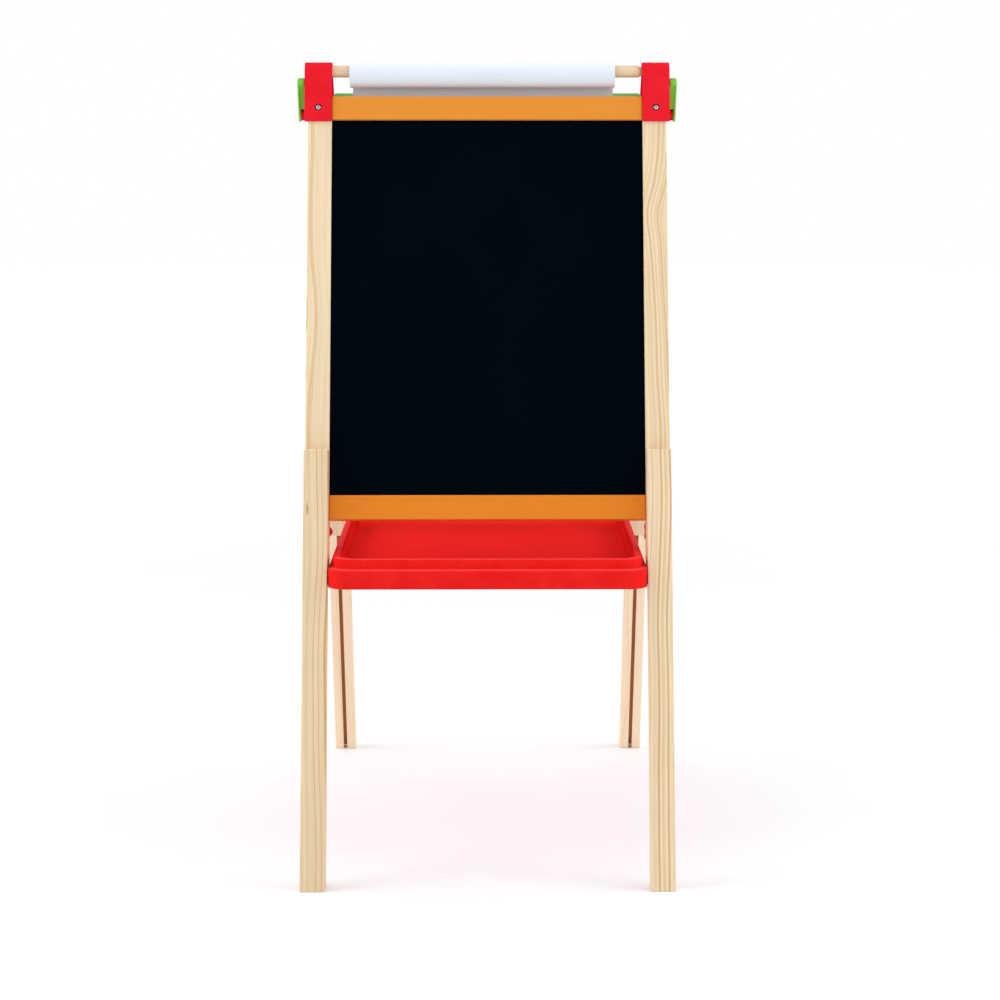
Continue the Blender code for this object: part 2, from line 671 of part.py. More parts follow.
def pivot_seat():
    """Where the pivot screw's flat seat lies across the easel."""
    return HOUSING_OUTSIDE - (HOOD_CENTRE[1] + HOOD_RADIUS) * HOUSING_TAPER - 0.0014


def pivot_screw(letter, side, parent):
    base = pivot_seat() + GAP
    tip = EAR_INSIDE - 0.0012
    profile = pan_head(tip, base, PIVOT_RADIUS, PIVOT_HEAD)
    mirror = (side, 1, 1)
    obj = put(f"pivot_screw_{letter}", turned(profile, 0, (0.0, 0.0), SMALL_ROUND), "zinc_steel", parent,
              mirror=mirror)
    cut(obj, [cross_recess(0, profile[-1][0], (0.0, 0.0), 0.0020)], mirror)


# ---- Paper roll ----


def dowel():
    holder = empty("dowel_slide", (0, DOWEL_Y, DOWEL_Z))
    shoulder_left = DOWEL_LEFT + SPIGOT_LENGTH
    shoulder_right = DOWEL_RIGHT - SPIGOT_LENGTH
    profile = [(DOWEL_LEFT, SPIGOT_RADIUS - SPIGOT_ROUNDING), (DOWEL_LEFT + SPIGOT_ROUNDING, SPIGOT_RADIUS),
               (shoulder_left, SPIGOT_RADIUS), (shoulder_left + CHAMFER, DOWEL_RADIUS),
               (shoulder_right - CHAMFER, DOWEL_RADIUS), (shoulder_right, SPIGOT_RADIUS),
               (DOWEL_RIGHT - SPIGOT_ROUNDING, SPIGOT_RADIUS), (DOWEL_RIGHT, SPIGOT_RADIUS - SPIGOT_ROUNDING)]
    put("paper_dowel", turned(profile, 0, (0.0, 0.0)), "pine", holder)


def roll_centre():
    """(y, z) of the roll's axis: its core hangs on the dowel."""
    return DOWEL_Y, DOWEL_Z + DOWEL_RADIUS - CORE_IN + GAP / 2


def paper_roll():
    holder = empty("roll_axis", (0, *roll_centre()))
    core_x = (ROLL_X[0] + CORE_SHORTER, ROLL_X[1] - CORE_SHORTER)
    put("roll_core", tube(0, *core_x, CORE_IN + GAP, CORE_OUT), "cardboard", holder)
    put("paper_roll", tube(0, *ROLL_X, CORE_OUT + GAP, ROLL_RADIUS, segments=32), "paper", holder)


def tail_route():
    """(y, z) points down the tail: it leaves the roll's back and curls towards the chalkboard's back."""
    y, z = roll_centre()
    angle = math.radians(TAIL_LEAVES_AT)
    radius = ROLL_RADIUS + TAIL_THICK / 2 + GAP
    place = Vector((y + radius * math.sin(angle), z - radius * math.cos(angle)))
    heading = angle - math.pi / 2
    steps = 15
    step = TAIL_LENGTH / steps
    points = [place.copy()]
    for count in range(steps):
        place += Vector((math.sin(heading), -math.cos(heading))) * step
        points.append(place.copy())
        if count == 1:
            heading += math.radians(TAIL_KICK)
        if count > 2:
            heading -= step / TAIL_CURL
    return points


def paper_tail():
    points = tail_route()
    normals = []
    for index in range(len(points)):
        before = points[max(index - 1, 0)]
        after = points[min(index + 1, len(points) - 1)]
        along = (after - before).normalized()
        normals.append(Vector((-along.y, along.x)) * TAIL_THICK / 2)
    outline = [tuple(p + n) for p, n in zip(points, normals)]
    outline += [tuple(p - n) for p, n in zip(reversed(points), reversed(normals))]
    put("paper_tail", prism(outline, 0, *TAIL_X), "paper")


# ---- Tray ----


def tray_pin_place():
    return world_place(TRAY_PIN_OUT, TRAY_PIN_UP)


def layer(inset_x, inset_y, radius, low, high):
    outline = rounded_rectangle(TRAY_HALF_X - inset_x, TRAY_HALF_Y - inset_y, radius)
    return prism(outline, 2, low, high)


def tray():
    pin_y, pin_z = tray_pin_place()
    origin = (0, pin_y, pin_z)
    well_x = RIM_INSET_X + RIM_WIDE
    well_y = RIM_INSET_Y + RIM_WIDE
    obj = put("tray", layer(0, 0, TRAY_CORNER, TRAY_BOTTOM, TRAY_LEDGE), "red_plastic", None, origin)
    rounded(obj, width=TRAY_ROUNDING, segments=2, angle=60)
    rim = layer(RIM_INSET_X, RIM_INSET_Y, RIM_CORNER, TRAY_LEDGE - TRAY_WALL / 2, TRAY_RIM)
    lower = layer(TRAY_WALL, TRAY_WALL, TRAY_CORNER - TRAY_WALL, TRAY_BOTTOM - PAST, TRAY_LEDGE - TRAY_WALL)
    well_shell = layer(well_x - TRAY_WALL, well_y - TRAY_WALL, WELL_CORNER + TRAY_WALL, TRAY_FLOOR - TRAY_WALL,
                       TRAY_RIM - 0.001)
    rim_hollow = layer(RIM_INSET_X + TRAY_WALL, RIM_INSET_Y + TRAY_WALL, RIM_CORNER - TRAY_WALL, TRAY_BOTTOM,
                       TRAY_RIM - TRAY_WALL)
    well = layer(well_x, well_y, WELL_CORNER, TRAY_FLOOR, TRAY_RIM + PAST)
    cut(obj, [lower])
    join(obj, [rim])
    cut(obj, [rim_hollow])
    join(obj, [well_shell])
    notch = TRAY_HALF_X - 0.006, TRAY_HALF_X + PAST
    wide = BUSH_RADIUS + GAP
    cutters = [well]
    for side in SIDES.values():
        across = sorted((side * notch[0], side * notch[1]))
        cutters.append(block(across, (pin_y - wide, pin_y + wide), (TRAY_BOTTOM - PAST, pin_z)))
        cutters.append(rod(0, *across, wide, (pin_y, pin_z), 20))
        rear_end = -pin_y + TRAY_PIN_RADIUS + GAP
        rebate_top = pin_z + TRAY_PIN_RADIUS + GAP
        cutters.append(block(across, (pin_y + REBATE_START, rear_end), (TRAY_BOTTOM - PAST, rebate_top)))
    cut(obj, cutters)


def tray_bushes():
    pin_y, pin_z = tray_pin_place()
    for letter, side in SIDES.items():
        mesh = tube(0, TRAY_PIN_TIP + 0.001, STILE_INSIDE - 0.0005, BUSH_BORE, BUSH_RADIUS, (pin_y, pin_z), 16)
        put(f"tray_bush_{letter}", mesh, "red_plastic", None, (0, pin_y, pin_z), (side, 1, 1))


# ---- Paper clamp ----


def paper_clamp(parent):
    bar = put("paper_guide_bar", block((-GUIDE_HALF_LENGTH, GUIDE_HALF_LENGTH), GUIDE_OUT, GUIDE_UP), "pine", parent)
    rounded(bar)
    top_rail = bpy.data.objects["back_top_rail"]
    for pierced in (bar, top_rail):
        cut(pierced, [rod(1, GUIDE_STUD_START - GAP, GUIDE_OUT[1] + PAST, GUIDE_STUD_RADIUS + GAP,
                          (side * GUIDE_KNOB_X, GUIDE_KNOB_UP)) for side in SIDES.values()])
    for letter, side in SIDES.items():
        centre = (side * GUIDE_KNOB_X, GUIDE_KNOB_UP)
        base = GUIDE_OUT[1] + GAP
        stud = rod(1, GUIDE_STUD_START, base + GUIDE_STUD_REACH, GUIDE_STUD_RADIUS, centre)
        put(f"guide_stud_{letter}", stud, "zinc_steel", parent)
        dome = [(base, 0.0100), (base + 0.0012, GUIDE_KNOB_RADIUS)]
        dome += [(base + 0.009 + 0.005 * math.sin(math.radians(a)), GUIDE_KNOB_RADIUS * math.cos(math.radians(a)))
                 for a in (0, 26, 52, 76)]
        knob = put(f"guide_knob_{letter}", turned(dome, 1, centre, 20), "blue_plastic", parent,
                   (centre[0], base, centre[1]))
        cut(knob, [rod(1, base - PAST, base + GUIDE_STUD_REACH + GAP, GUIDE_STUD_RADIUS + GAP, centre)])


# ---- The easel ----

for old in list(bpy.data.objects):
    bpy.data.objects.remove(old, do_unlink=True)
materials = make_materials()

pivot = (0, 0, PIVOT_HEIGHT)
front_frame = empty("front_frame_lean", pivot, lean=-LEAN)
back_frame = empty("back_frame_fold", pivot, lean=LEAN)
frame_parts("front", FACINGS["front"], front_frame, "orange_paint", "chalkboard")
frame_parts("back", FACINGS["back"], back_frame, "green_paint", "whiteboard")

for side_letter, side_sign in SIDES.items():
    hinge_cap(side_letter, side_sign, front_frame)
    face_screw(f"cap_screw_{side_letter}", FACINGS["front"], side_sign, FRAME_OUT + CAP_WALL, front_frame)
    hinge_housing(side_letter, side_sign, back_frame)
    face_screw(f"housing_screw_{side_letter}", FACINGS["back"], side_sign, FRAME_OUT + HOUSING_WALL, back_frame)
    pivot_screw(side_letter, side_sign, back_frame)
    for place, direction in FACINGS.items():
        holder_frame = front_frame if direction < 0 else back_frame
        leg(place, direction, side_letter, side_sign, holder_frame)
        clamp_knob(place, direction, side_letter, side_sign, holder_frame)

paper_clamp(back_frame)
dowel()
paper_roll()
paper_tail()
tray()
tray_bushes()
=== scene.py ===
"""Looks of a child's double-sided wooden easel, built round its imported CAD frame.

Metres, +Z up, the chalkboard facing -Y. Sticks and boards are described in their own frame's terms:
across is X, out is the distance from the hinge line towards the board's face, up runs along the slope.
"""

import json
import math

import bpy
from mathutils import Matrix, Vector


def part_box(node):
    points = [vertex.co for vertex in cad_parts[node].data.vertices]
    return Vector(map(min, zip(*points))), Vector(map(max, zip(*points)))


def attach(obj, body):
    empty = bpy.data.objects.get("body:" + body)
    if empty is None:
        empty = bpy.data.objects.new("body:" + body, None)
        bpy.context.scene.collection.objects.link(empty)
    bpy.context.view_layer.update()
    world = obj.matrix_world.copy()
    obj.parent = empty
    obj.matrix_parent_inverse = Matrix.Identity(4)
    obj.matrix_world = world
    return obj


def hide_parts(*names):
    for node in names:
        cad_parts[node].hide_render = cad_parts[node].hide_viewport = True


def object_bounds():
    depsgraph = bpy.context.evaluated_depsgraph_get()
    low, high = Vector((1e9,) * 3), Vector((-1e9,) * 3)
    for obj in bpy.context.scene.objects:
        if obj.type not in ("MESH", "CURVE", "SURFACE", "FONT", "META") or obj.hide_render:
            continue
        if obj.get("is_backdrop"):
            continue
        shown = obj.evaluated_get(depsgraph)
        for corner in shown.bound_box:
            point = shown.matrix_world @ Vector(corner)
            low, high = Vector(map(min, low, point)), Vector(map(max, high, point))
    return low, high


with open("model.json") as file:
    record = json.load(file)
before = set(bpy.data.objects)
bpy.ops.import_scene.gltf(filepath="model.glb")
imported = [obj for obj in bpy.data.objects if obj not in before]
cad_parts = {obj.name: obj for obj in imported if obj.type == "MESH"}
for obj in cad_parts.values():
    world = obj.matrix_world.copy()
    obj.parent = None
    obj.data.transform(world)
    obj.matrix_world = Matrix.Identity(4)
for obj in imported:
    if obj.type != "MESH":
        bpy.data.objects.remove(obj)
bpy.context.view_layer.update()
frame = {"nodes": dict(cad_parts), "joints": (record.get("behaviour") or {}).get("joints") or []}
nodes = frame["nodes"]
joints = {joint["name"]: joint for joint in frame["joints"]}

# ---- Pine stiles and legs ----
# Eight sticks of planed pine, 32 by 20.5 mm, with rounded edges and a clear matt lacquer. The stiles
# carry the boards, and each leg lies on its stile's face. Every stick is sawn from its own place in a
# log, so the rings run differently in each.

SIDES = {"L": -1, "R": 1}
FACINGS = {"front": -1, "back": 1}
HINGE = Vector(joints["fold"]["pos_m"])
LEG_RISE = Vector(joints["front_leg_L_height"]["axis"])
LEAN = math.atan2(LEG_RISE.y, LEG_RISE.z)

PINE_EARLY = (236, 215, 181)
PINE_LATE = (206, 163, 102)
# The back legs' tones are painted lighter than the other sticks': painted light, to make up for the shade
# behind the boards. The right front leg is a little lighter than the left one.
BACK_LEG_LIGHTENED_TONES = ((250, 232, 200), (228, 190, 136))
LEG_TONES = {"front_leg_L": ((230, 207, 169), (198, 152, 90)),
             "front_leg_R": ((236, 215, 182), (206, 162, 102)),
             "back_leg_L": BACK_LEG_LIGHTENED_TONES, "back_leg_R": BACK_LEG_LIGHTENED_TONES}
PINE_ROUGHNESS = 0.55
SWERVE_LENGTH = 0.050
FLECK_SCALE = (420.0, 420.0, 95.0)
# The next colour is painted shade: a darker, warmer brown for the shadow and warm bounce light inside each
# leg's clamp slot.
SLOT_SHADE = (244, 176, 108)
SLOT_ACROSS = 0.224
SLOT_WIDE = 0.0112
SLOT_DEPTH = 0.0115
SLOT_FACE = 0.03195
HINGE_OUT = HINGE.z * math.sin(LEAN)
HALF = (0.5, 0.5, 0.5)
NO_TURN = (0.0, 0.0, 0.0)


def paint_colour(red, green, blue):
    """A colour as mixed on a screen, 0 to 255, turned into the light that a shader takes."""
    shares = [channel / 255 for channel in (red, green, blue)]
    light = [s / 12.92 if s <= 0.04045 else ((s + 0.055) / 1.055) ** 2.4 for s in shares]
    return (*light, 1.0)


def add_node(tree, kind, values=None, **settings):
    """A shader node: values go on its input sockets, as a number, a colour or another node's output."""
    made = tree.nodes.new(f"ShaderNode{kind}")
    for setting, value in settings.items():
        setattr(made, setting, value)
    for socket, value in (values or {}).items():
        if isinstance(value, bpy.types.NodeSocket):
            tree.links.new(value, made.inputs[socket])
        else:
            made.inputs[socket].default_value = value
    return made


def reckon(tree, operation, *values, clamp=False):
    """One sum on numbers that change over the surface."""
    sums = add_node(tree, "Math", dict(enumerate(values)), operation=operation, use_clamp=clamp)
    return sums.outputs[0]


def move_place(tree, operation, *values):
    """One sum on places, such as adding two of them."""
    return add_node(tree, "VectorMath", dict(enumerate(values)), operation=operation).outputs[0]


def scaled_place(tree, place, scale):
    """Place stretched by a different amount each way, so that noise on it is drawn out."""
    return move_place(tree, "MULTIPLY", place, scale)


def noise(tree, place, scale, detail=2.0, rough=0.5):
    values = {"Vector": place, "Scale": scale, "Detail": detail, "Roughness": rough}
    return add_node(tree, "TexNoise", values)


def graded(tree, value, stops):
    """A mask or colour read off a ramp: stops are (place, grey or colour)."""
    ramp = add_node(tree, "ValToRGB", {0: value})
    points = ramp.color_ramp.elements
    while len(points) < len(stops):
        points.new(0.5)
    for point, (place, shade) in zip(points, stops):
        point.position = place
        point.color = shade if isinstance(shade, tuple) else (shade, shade, shade, 1.0)
    return ramp.outputs[0]


def blended(tree, share, first, second, how="MIX"):
    mix = add_node(tree, "Mix", {0: share, 6: first, 7: second}, data_type="RGBA", blend_type=how)
    return mix.outputs[2]


def new_group(name, inputs, outputs):
    """An effect shared by several materials, with named inputs and outputs."""
    group = bpy.data.node_groups.new(name, "ShaderNodeTree")
    for socket, value in inputs.items():
        kind = "NodeSocketVector" if isinstance(value, tuple) and len(value) == 3 else "NodeSocketFloat"
        kind = "NodeSocketColor" if isinstance(value, tuple) and len(value) == 4 else kind
        group.interface.new_socket(socket, in_out="INPUT", socket_type=kind).default_value = value
    for socket in outputs:
        kind = "NodeSocketColor" if socket == "Colour" else "NodeSocketFloat"
        group.interface.new_socket(socket, in_out="OUTPUT", socket_type=kind)
    start = group.nodes.new("NodeGroupInput").outputs
    end = group.nodes.new("NodeGroupOutput").inputs
    return group, start, end


def make_grain():
    """Growth rings and fibres of a sawn stick whose length is Z, with the log's heart on the Z axis."""
    inputs = {"Place": (0.0, 0.0, 0.0), "Ring Width": 0.005, "Waver": 0.006, "Depth": 1.0,
              "Early": paint_colour(*PINE_EARLY), "Late": paint_colour(*PINE_LATE),
              "Swerve": 0.0, "Swerve At": 0.0, "Fleck": (0.0, 0.0, -9.0)}
    group, start, end = new_group("pine_grain", inputs, ["Colour", "Late Wood", "Fibre", "Height"])
    place = start["Place"]
    slow = noise(group, scaled_place(group, place, (5.0, 5.0, 3.4)), 1.0, 1.0).outputs["Color"]
    quick = noise(group, scaled_place(group, place, (40.0, 40.0, 7.0)), 1.0, 2.0).outputs["Color"]
    centred = move_place(group, "SUBTRACT", slow, HALF)
    bent = add_node(group, "VectorMath", {0: centred, "Scale": start["Waver"]}, operation="SCALE").outputs[0]
    centred = move_place(group, "SUBTRACT", quick, HALF)
    small = move_place(group, "MULTIPLY", centred, (0.0011, 0.0011, 0.0))
    moved = move_place(group, "ADD", place, bent)
    moved = move_place(group, "ADD", moved, small)
    along = add_node(group, "SeparateXYZ", {0: place}).outputs["Z"]
    past = reckon(group, "SUBTRACT", along, start["Swerve At"])
    past = reckon(group, "DIVIDE", past, SWERVE_LENGTH)
    spread = reckon(group, "POWER", reckon(group, "MULTIPLY_ADD", past, past, 1.0), 2.0)
    near = reckon(group, "DIVIDE", 1.0, spread)
    bulge = add_node(group, "CombineXYZ", {0: reckon(group, "MULTIPLY", near, start["Swerve"])}).outputs[0]
    moved = move_place(group, "ADD", moved, bulge)
    flat = scaled_place(group, moved, (1.0, 1.0, 0.0))
    radius = add_node(group, "VectorMath", {0: flat}, operation="LENGTH").outputs["Value"]
    outward = {"W": reckon(group, "MULTIPLY", radius, 200.0), "Scale": 1.0, "Detail": 1.0}
    years = add_node(group, "TexNoise", outward, noise_dimensions="1D").outputs["Fac"]
    radius = reckon(group, "ADD", radius, reckon(group, "MULTIPLY_ADD", years, 0.010, -0.005))
    rings = reckon(group, "DIVIDE", radius, start["Ring Width"])
    number = reckon(group, "FLOOR", rings)
    own = add_node(group, "TexWhiteNoise", {"W": number}, noise_dimensions="1D").outputs["Value"]
    through = reckon(group, "SUBTRACT", rings, number)
    year = [(0.0, 0.12), (0.10, 0.0), (0.55, 0.05), (0.78, 0.70), (0.90, 1.0), (1.0, 0.12)]
    band = graded(group, through, year)
    strength = reckon(group, "MULTIPLY_ADD", own, 0.75, 0.25)
    late = reckon(group, "MULTIPLY", band, strength)
    apart = move_place(group, "SUBTRACT", place, start["Fleck"])
    apart = add_node(group, "VectorMath", {0: scaled_place(group, apart, FLECK_SCALE)}, operation="LENGTH")
    fleck = graded(group, apart.outputs["Value"], [(0.35, 0.9), (1.0, 0.0)])
    late = reckon(group, "MAXIMUM", late, fleck)
    late = reckon(group, "MULTIPLY", late, start["Depth"], clamp=True)
    fibre = noise(group, scaled_place(group, place, (950.0, 950.0, 16.0)), 1.0, 3.0, 0.65).outputs["Fac"]
    streak = noise(group, scaled_place(group, place, (190.0, 190.0, 3.5)), 1.0, 2.0, 0.6).outputs["Fac"]
    patch = noise(group, scaled_place(group, place, (16.0, 16.0, 2.4)), 1.0, 2.0).outputs["Fac"]
    colour = blended(group, late, start["Early"], start["Late"])
    fibre_light = graded(group, fibre, [(0.30, 0.93), (0.52, 1.0), (0.75, 1.03)])
    streak_light = graded(group, streak, [(0.30, 0.95), (0.5, 1.0), (0.72, 1.03)])
    patch_light = graded(group, patch, [(0.30, (0.955, 0.93, 0.90, 1.0)), (0.68, (1.03, 1.03, 1.03, 1.0))])
    for light in (fibre_light, streak_light, patch_light):
        colour = blended(group, start["Depth"], colour, light, "MULTIPLY")
    group.links.new(colour, end["Colour"])
    group.links.new(late, end["Late Wood"])
    group.links.new(fibre, end["Fibre"])
    raised = reckon(group, "MULTIPLY_ADD", late, 0.6, fibre)
    group.links.new(raised, end["Height"])
    return group


def use_group(tree, group, values):
    made = tree.nodes.new("ShaderNodeGroup")
    made.node_tree = group
    for socket, value in values.items():
        if isinstance(value, bpy.types.NodeSocket):
            tree.links.new(value, made.inputs[socket])
        else:
            made.inputs[socket].default_value = value
    return made.outputs


def new_material(name, roughness, metallic=0.0):
    """An empty finish: its tree, its Principled shader and the piece's own coordinates."""
    material = bpy.data.materials.new(name)
    material.use_nodes = True
    tree = material.node_tree
    shader = tree.nodes["Principled BSDF"]
    shader.inputs["Roughness"].default_value = roughness
    shader.inputs["Metallic"].default_value = metallic
    place = tree.nodes.new("ShaderNodeTexCoord").outputs["Object"]
    return material, tree, shader, place


def raise_surface(tree, shader, height, depth):
    bump = add_node(tree, "Bump", {"Height": height, "Distance": depth, "Strength": 1.0})
    tree.links.new(bump.outputs["Normal"], shader.inputs["Normal"])


def turned_place(tree, place, turn, shift):
    values = {"Vector": place, "Rotation": turn, "Location": shift}
    return add_node(tree, "Mapping", values, vector_type="POINT").outputs[0]


def pine(name, turn, heart, ring_width=0.005, waver=0.006, depth=1.0, tilt=(0.0, 0.0), marks=None):
    """Lacquered pine: turn stands the stick upright, heart is how far off the log's middle it was sawn."""
    material, tree, shader, place = new_material(name, PINE_ROUGHNESS)
    upright = turned_place(tree, place, turn, heart)
    sawn = turned_place(tree, upright, (tilt[0], tilt[1], 0.0), NO_TURN)
    values = {"Place": sawn, "Ring Width": ring_width, "Waver": waver, "Depth": depth, **(marks or {})}
    wood = use_group(tree, grain, values)
    tree.links.new(wood["Colour"], shader.inputs["Base Color"])
    rough = reckon(tree, "MULTIPLY_ADD", wood["Fibre"], 0.22, PINE_ROUGHNESS - 0.11)
    tree.links.new(rough, shader.inputs["Roughness"])
    shader.inputs["Specular IOR Level"].default_value = 0.2
    raise_surface(tree, shader, wood["Height"], 0.00006)
    return material


def dress(name, material):
    """A CAD node takes its finish: its shape stays as it is."""
    for slot in nodes[name].material_slots:
        slot.material = material


def slope_turn(facing):
    """The turn that stands a leaning frame's sticks upright."""
    return (-facing * LEAN, 0.0, 0.0)


def shaded_slot(material, facing):
    """Painted shade: the inside of a leg's clamp slot is painted a darker, warmer brown, for the shadow and
    the warm bounce light deep in the groove.
    """
    tree = material.node_tree
    shader = tree.nodes["Principled BSDF"]
    place = add_node(tree, "TexCoord").outputs["Object"]
    upright = turned_place(tree, place, slope_turn(facing), NO_TURN)
    parts = add_node(tree, "SeparateXYZ", {0: upright}).outputs
    aside = reckon(tree, "SUBTRACT", reckon(tree, "ABSOLUTE", parts["X"]), SLOT_ACROSS)
    aside = reckon(tree, "ABSOLUTE", aside)
    across = reckon(tree, "LESS_THAN", aside, SLOT_WIDE / 2 + 0.0002)
    out = reckon(tree, "MULTIPLY_ADD", parts["Y"], facing, -(SLOT_FACE + HINGE_OUT))
    deep = reckon(tree, "COMPARE", out, SLOT_DEPTH / 2 + 0.0004, SLOT_DEPTH / 2)
    slot_mottle = noise(tree, scaled_place(tree, upright, (700.0, 700.0, 14.0)), 1.0, 3.0, 0.6).outputs["Fac"]
    lighter = paint_colour(*SLOT_SHADE)
    darker = (*[channel * 0.75 for channel in lighter[:3]], 1.0)
    brown = graded(tree, slot_mottle, [(0.3, darker), (0.7, lighter)])
    wood = shader.inputs["Base Color"].links[0].from_socket
    slot_shaded = blended(tree, reckon(tree, "MULTIPLY", across, deep), wood, brown)
    tree.links.new(slot_shaded, shader.inputs["Base Color"])


grain = make_grain()
# How far off the log's heart each stick was sawn (across, out, up), its ring width, waver, depth and tilt
# A lower depth also makes a stick lighter: the stiles' 0.85 is painted light for the brighter light high up,
# and the back legs' 0.6 is painted light for the shade behind the boards.
STICKS = {
    "front_stile_L": ((0.262, 0.352, 0.55), 0.0034, 0.034, 0.85, (0.004, 0.012)),
    "front_stile_R": ((-0.254, 0.332, 1.30), 0.0046, 0.022, 0.85, (0.0, -0.006)),
    "back_stile_L": ((0.270, -0.350, 2.10), 0.0036, 0.030, 0.85, (0.006, -0.008)),
    "back_stile_R": ((-0.285, -0.352, 3.20), 0.0042, 0.030, 0.85, (-0.004, 0.008)),
    "front_leg_L": ((0.290, 0.372, 4.30), 0.0082, 0.022, 1.0, (0.004, 0.010)),
    "front_leg_R": ((-0.280, 0.366, 5.10), 0.0058, 0.018, 1.0, (0.004, -0.008)),
    "back_leg_L": ((0.265, -0.352, 6.40), 0.0040, 0.014, 0.6, (-0.004, 0.010)),
    "back_leg_R": ((-0.290, -0.352, 7.30), 0.0044, 0.014, 0.6, (0.006, 0.008)),
}
# A swerve in the rings beside a knot, and a small resin fleck: along the stick, from its log's own origin
MARKS = {
    "front_stile_R": {"Swerve": 0.0085, "Swerve At": 2.096},
    "front_leg_L": {"Fleck": (0.1025, 0.0296, 4.6980)},
}
for stick, (heart, ring_width, waver, depth, tilt) in STICKS.items():
    facing = FACINGS[stick.split("_")[0]]
    marks = dict(MARKS.get(stick, {}))
    if "leg" in stick:
        early, late = LEG_TONES[stick]
        marks.update({"Early": paint_colour(*early), "Late": paint_colour(*late)})
    lacquer = pine(f"pine_{stick}", slope_turn(facing), heart, ring_width, waver, depth, tilt, marks)
    # Each leg's clamp slot is painted darker inside: painted shade.
    if "leg" in stick:
        shaded_slot(lacquer, facing)
    dress(stick, lacquer)

# ---- Stained rails ----
# Four pine rails between the stiles, orange on the chalkboard's frame and green on the other. They
# are dipped in a satin stain that lets a little of the grain through, and screwed from the stiles.

ORANGE = (226, 143, 48)
ORANGE_LATE = (220, 128, 34)
ORANGE_LOW = (228, 132, 30)
ORANGE_LOW_LATE = (222, 116, 22)
GREEN = (100, 178, 74)
GREEN_LATE = (82, 158, 56)


def stain(name, facing, heart, early, late):
    """Satin stain over pine: the rail's length is X."""
    material, tree, shader, place = new_material(name, 0.42)
    upright = turned_place(tree, place, slope_turn(facing), NO_TURN)
    along = turned_place(tree, upright, (0.0, math.pi / 2, 0.0), heart)
    values = {"Place": along, "Ring Width": 0.007, "Waver": 0.012, "Depth": 0.35,
              "Early": paint_colour(*early), "Late": paint_colour(*late)}
    wood = use_group(tree, grain, values)
    tree.links.new(wood["Colour"], shader.inputs["Base Color"])
    rough = reckon(tree, "MULTIPLY_ADD", wood["Fibre"], 0.16, 0.34)
    tree.links.new(rough, shader.inputs["Roughness"])
    shader.inputs["Specular IOR Level"].default_value = 0.2
    raise_surface(tree, shader, wood["Height"], 0.00003)
    return material


dress("front_top_rail", stain("orange_top_rail", -1, (0.05, 0.04, 0.3), ORANGE, ORANGE_LATE))
dress("front_bottom_rail", stain("orange_bottom_rail", -1, (0.62, 0.05, 1.7), ORANGE_LOW, ORANGE_LOW_LATE))
dress("back_top_rail", stain("green_top_rail", 1, (0.06, 0.04, 2.5), GREEN, GREEN_LATE))
dress("back_bottom_rail", stain("green_bottom_rail", 1, (0.60, 0.05, 3.9), GREEN, GREEN_LATE))

# ---- Writing boards ----
# Two 4 mm hardboard panels in grooves round the frames. The front one is rolled with matt black
# chalkboard paint, and the back one has a gloss white dry-wipe laminate.


def chalkboard_paint():
    material, tree, shader, place = new_material("chalkboard_paint", 0.85)
    upright = turned_place(tree, place, slope_turn(-1), NO_TURN)
    haze = noise(tree, scaled_place(tree, upright, (9.0, 9.0, 5.0)), 1.0, 5.0, 0.6).outputs["Fac"]
    stipple = noise(tree, upright, 1400.0, 2.0, 0.6).outputs["Fac"]
    blacks = [(0.35, (0.0006, 0.0024, 0.0048, 1.0)), (0.75, (0.0012, 0.0031, 0.0060, 1.0))]
    colour = graded(tree, haze, blacks)
    tree.links.new(colour, shader.inputs["Base Color"])
    rough = reckon(tree, "MULTIPLY_ADD", haze, 0.2, 0.72)
    tree.links.new(rough, shader.inputs["Roughness"])
    shader.inputs["Specular IOR Level"].default_value = 0.0
    raise_surface(tree, shader, stipple, 0.00004)
    return material


def dry_wipe_laminate():
    material, tree, shader, place = new_material("dry_wipe_laminate", 0.12)
    upright = turned_place(tree, place, slope_turn(1), NO_TURN)
    ripple = noise(tree, upright, 180.0, 2.0, 0.4).outputs["Fac"]
    ghost = noise(tree, scaled_place(tree, upright, (14.0, 14.0, 6.0)), 1.0, 4.0, 0.6).outputs["Fac"]
    colour = graded(tree, ghost, [(0.30, paint_colour(240, 242, 244)), (0.65, paint_colour(244, 246, 248))])
    tree.links.new(colour, shader.inputs["Base Color"])
    rough = reckon(tree, "MULTIPLY_ADD", ghost, 0.12, 0.08)
    tree.links.new(rough, shader.inputs["Roughness"])
    raise_surface(tree, shader, ripple, 0.00002)
    return material


dress("chalkboard", chalkboard_paint())
dress("whiteboard", dry_wipe_laminate())

# ---- Red hinge caps ----
# A moulded cap is pushed over the top of each front stile and held by one screw. It carries the
# hinge boss on its outer side and a barrel above the stile that takes the dowel's end.

RED = (232, 36, 48)
RED_DEEP = (226, 28, 42)
SEAT_ACROSS = 0.226
# The next colour is painted shade: the dark maroon of the shadowed recess round each cap screw.
SEAT_SHADE = (84, 12, 34)


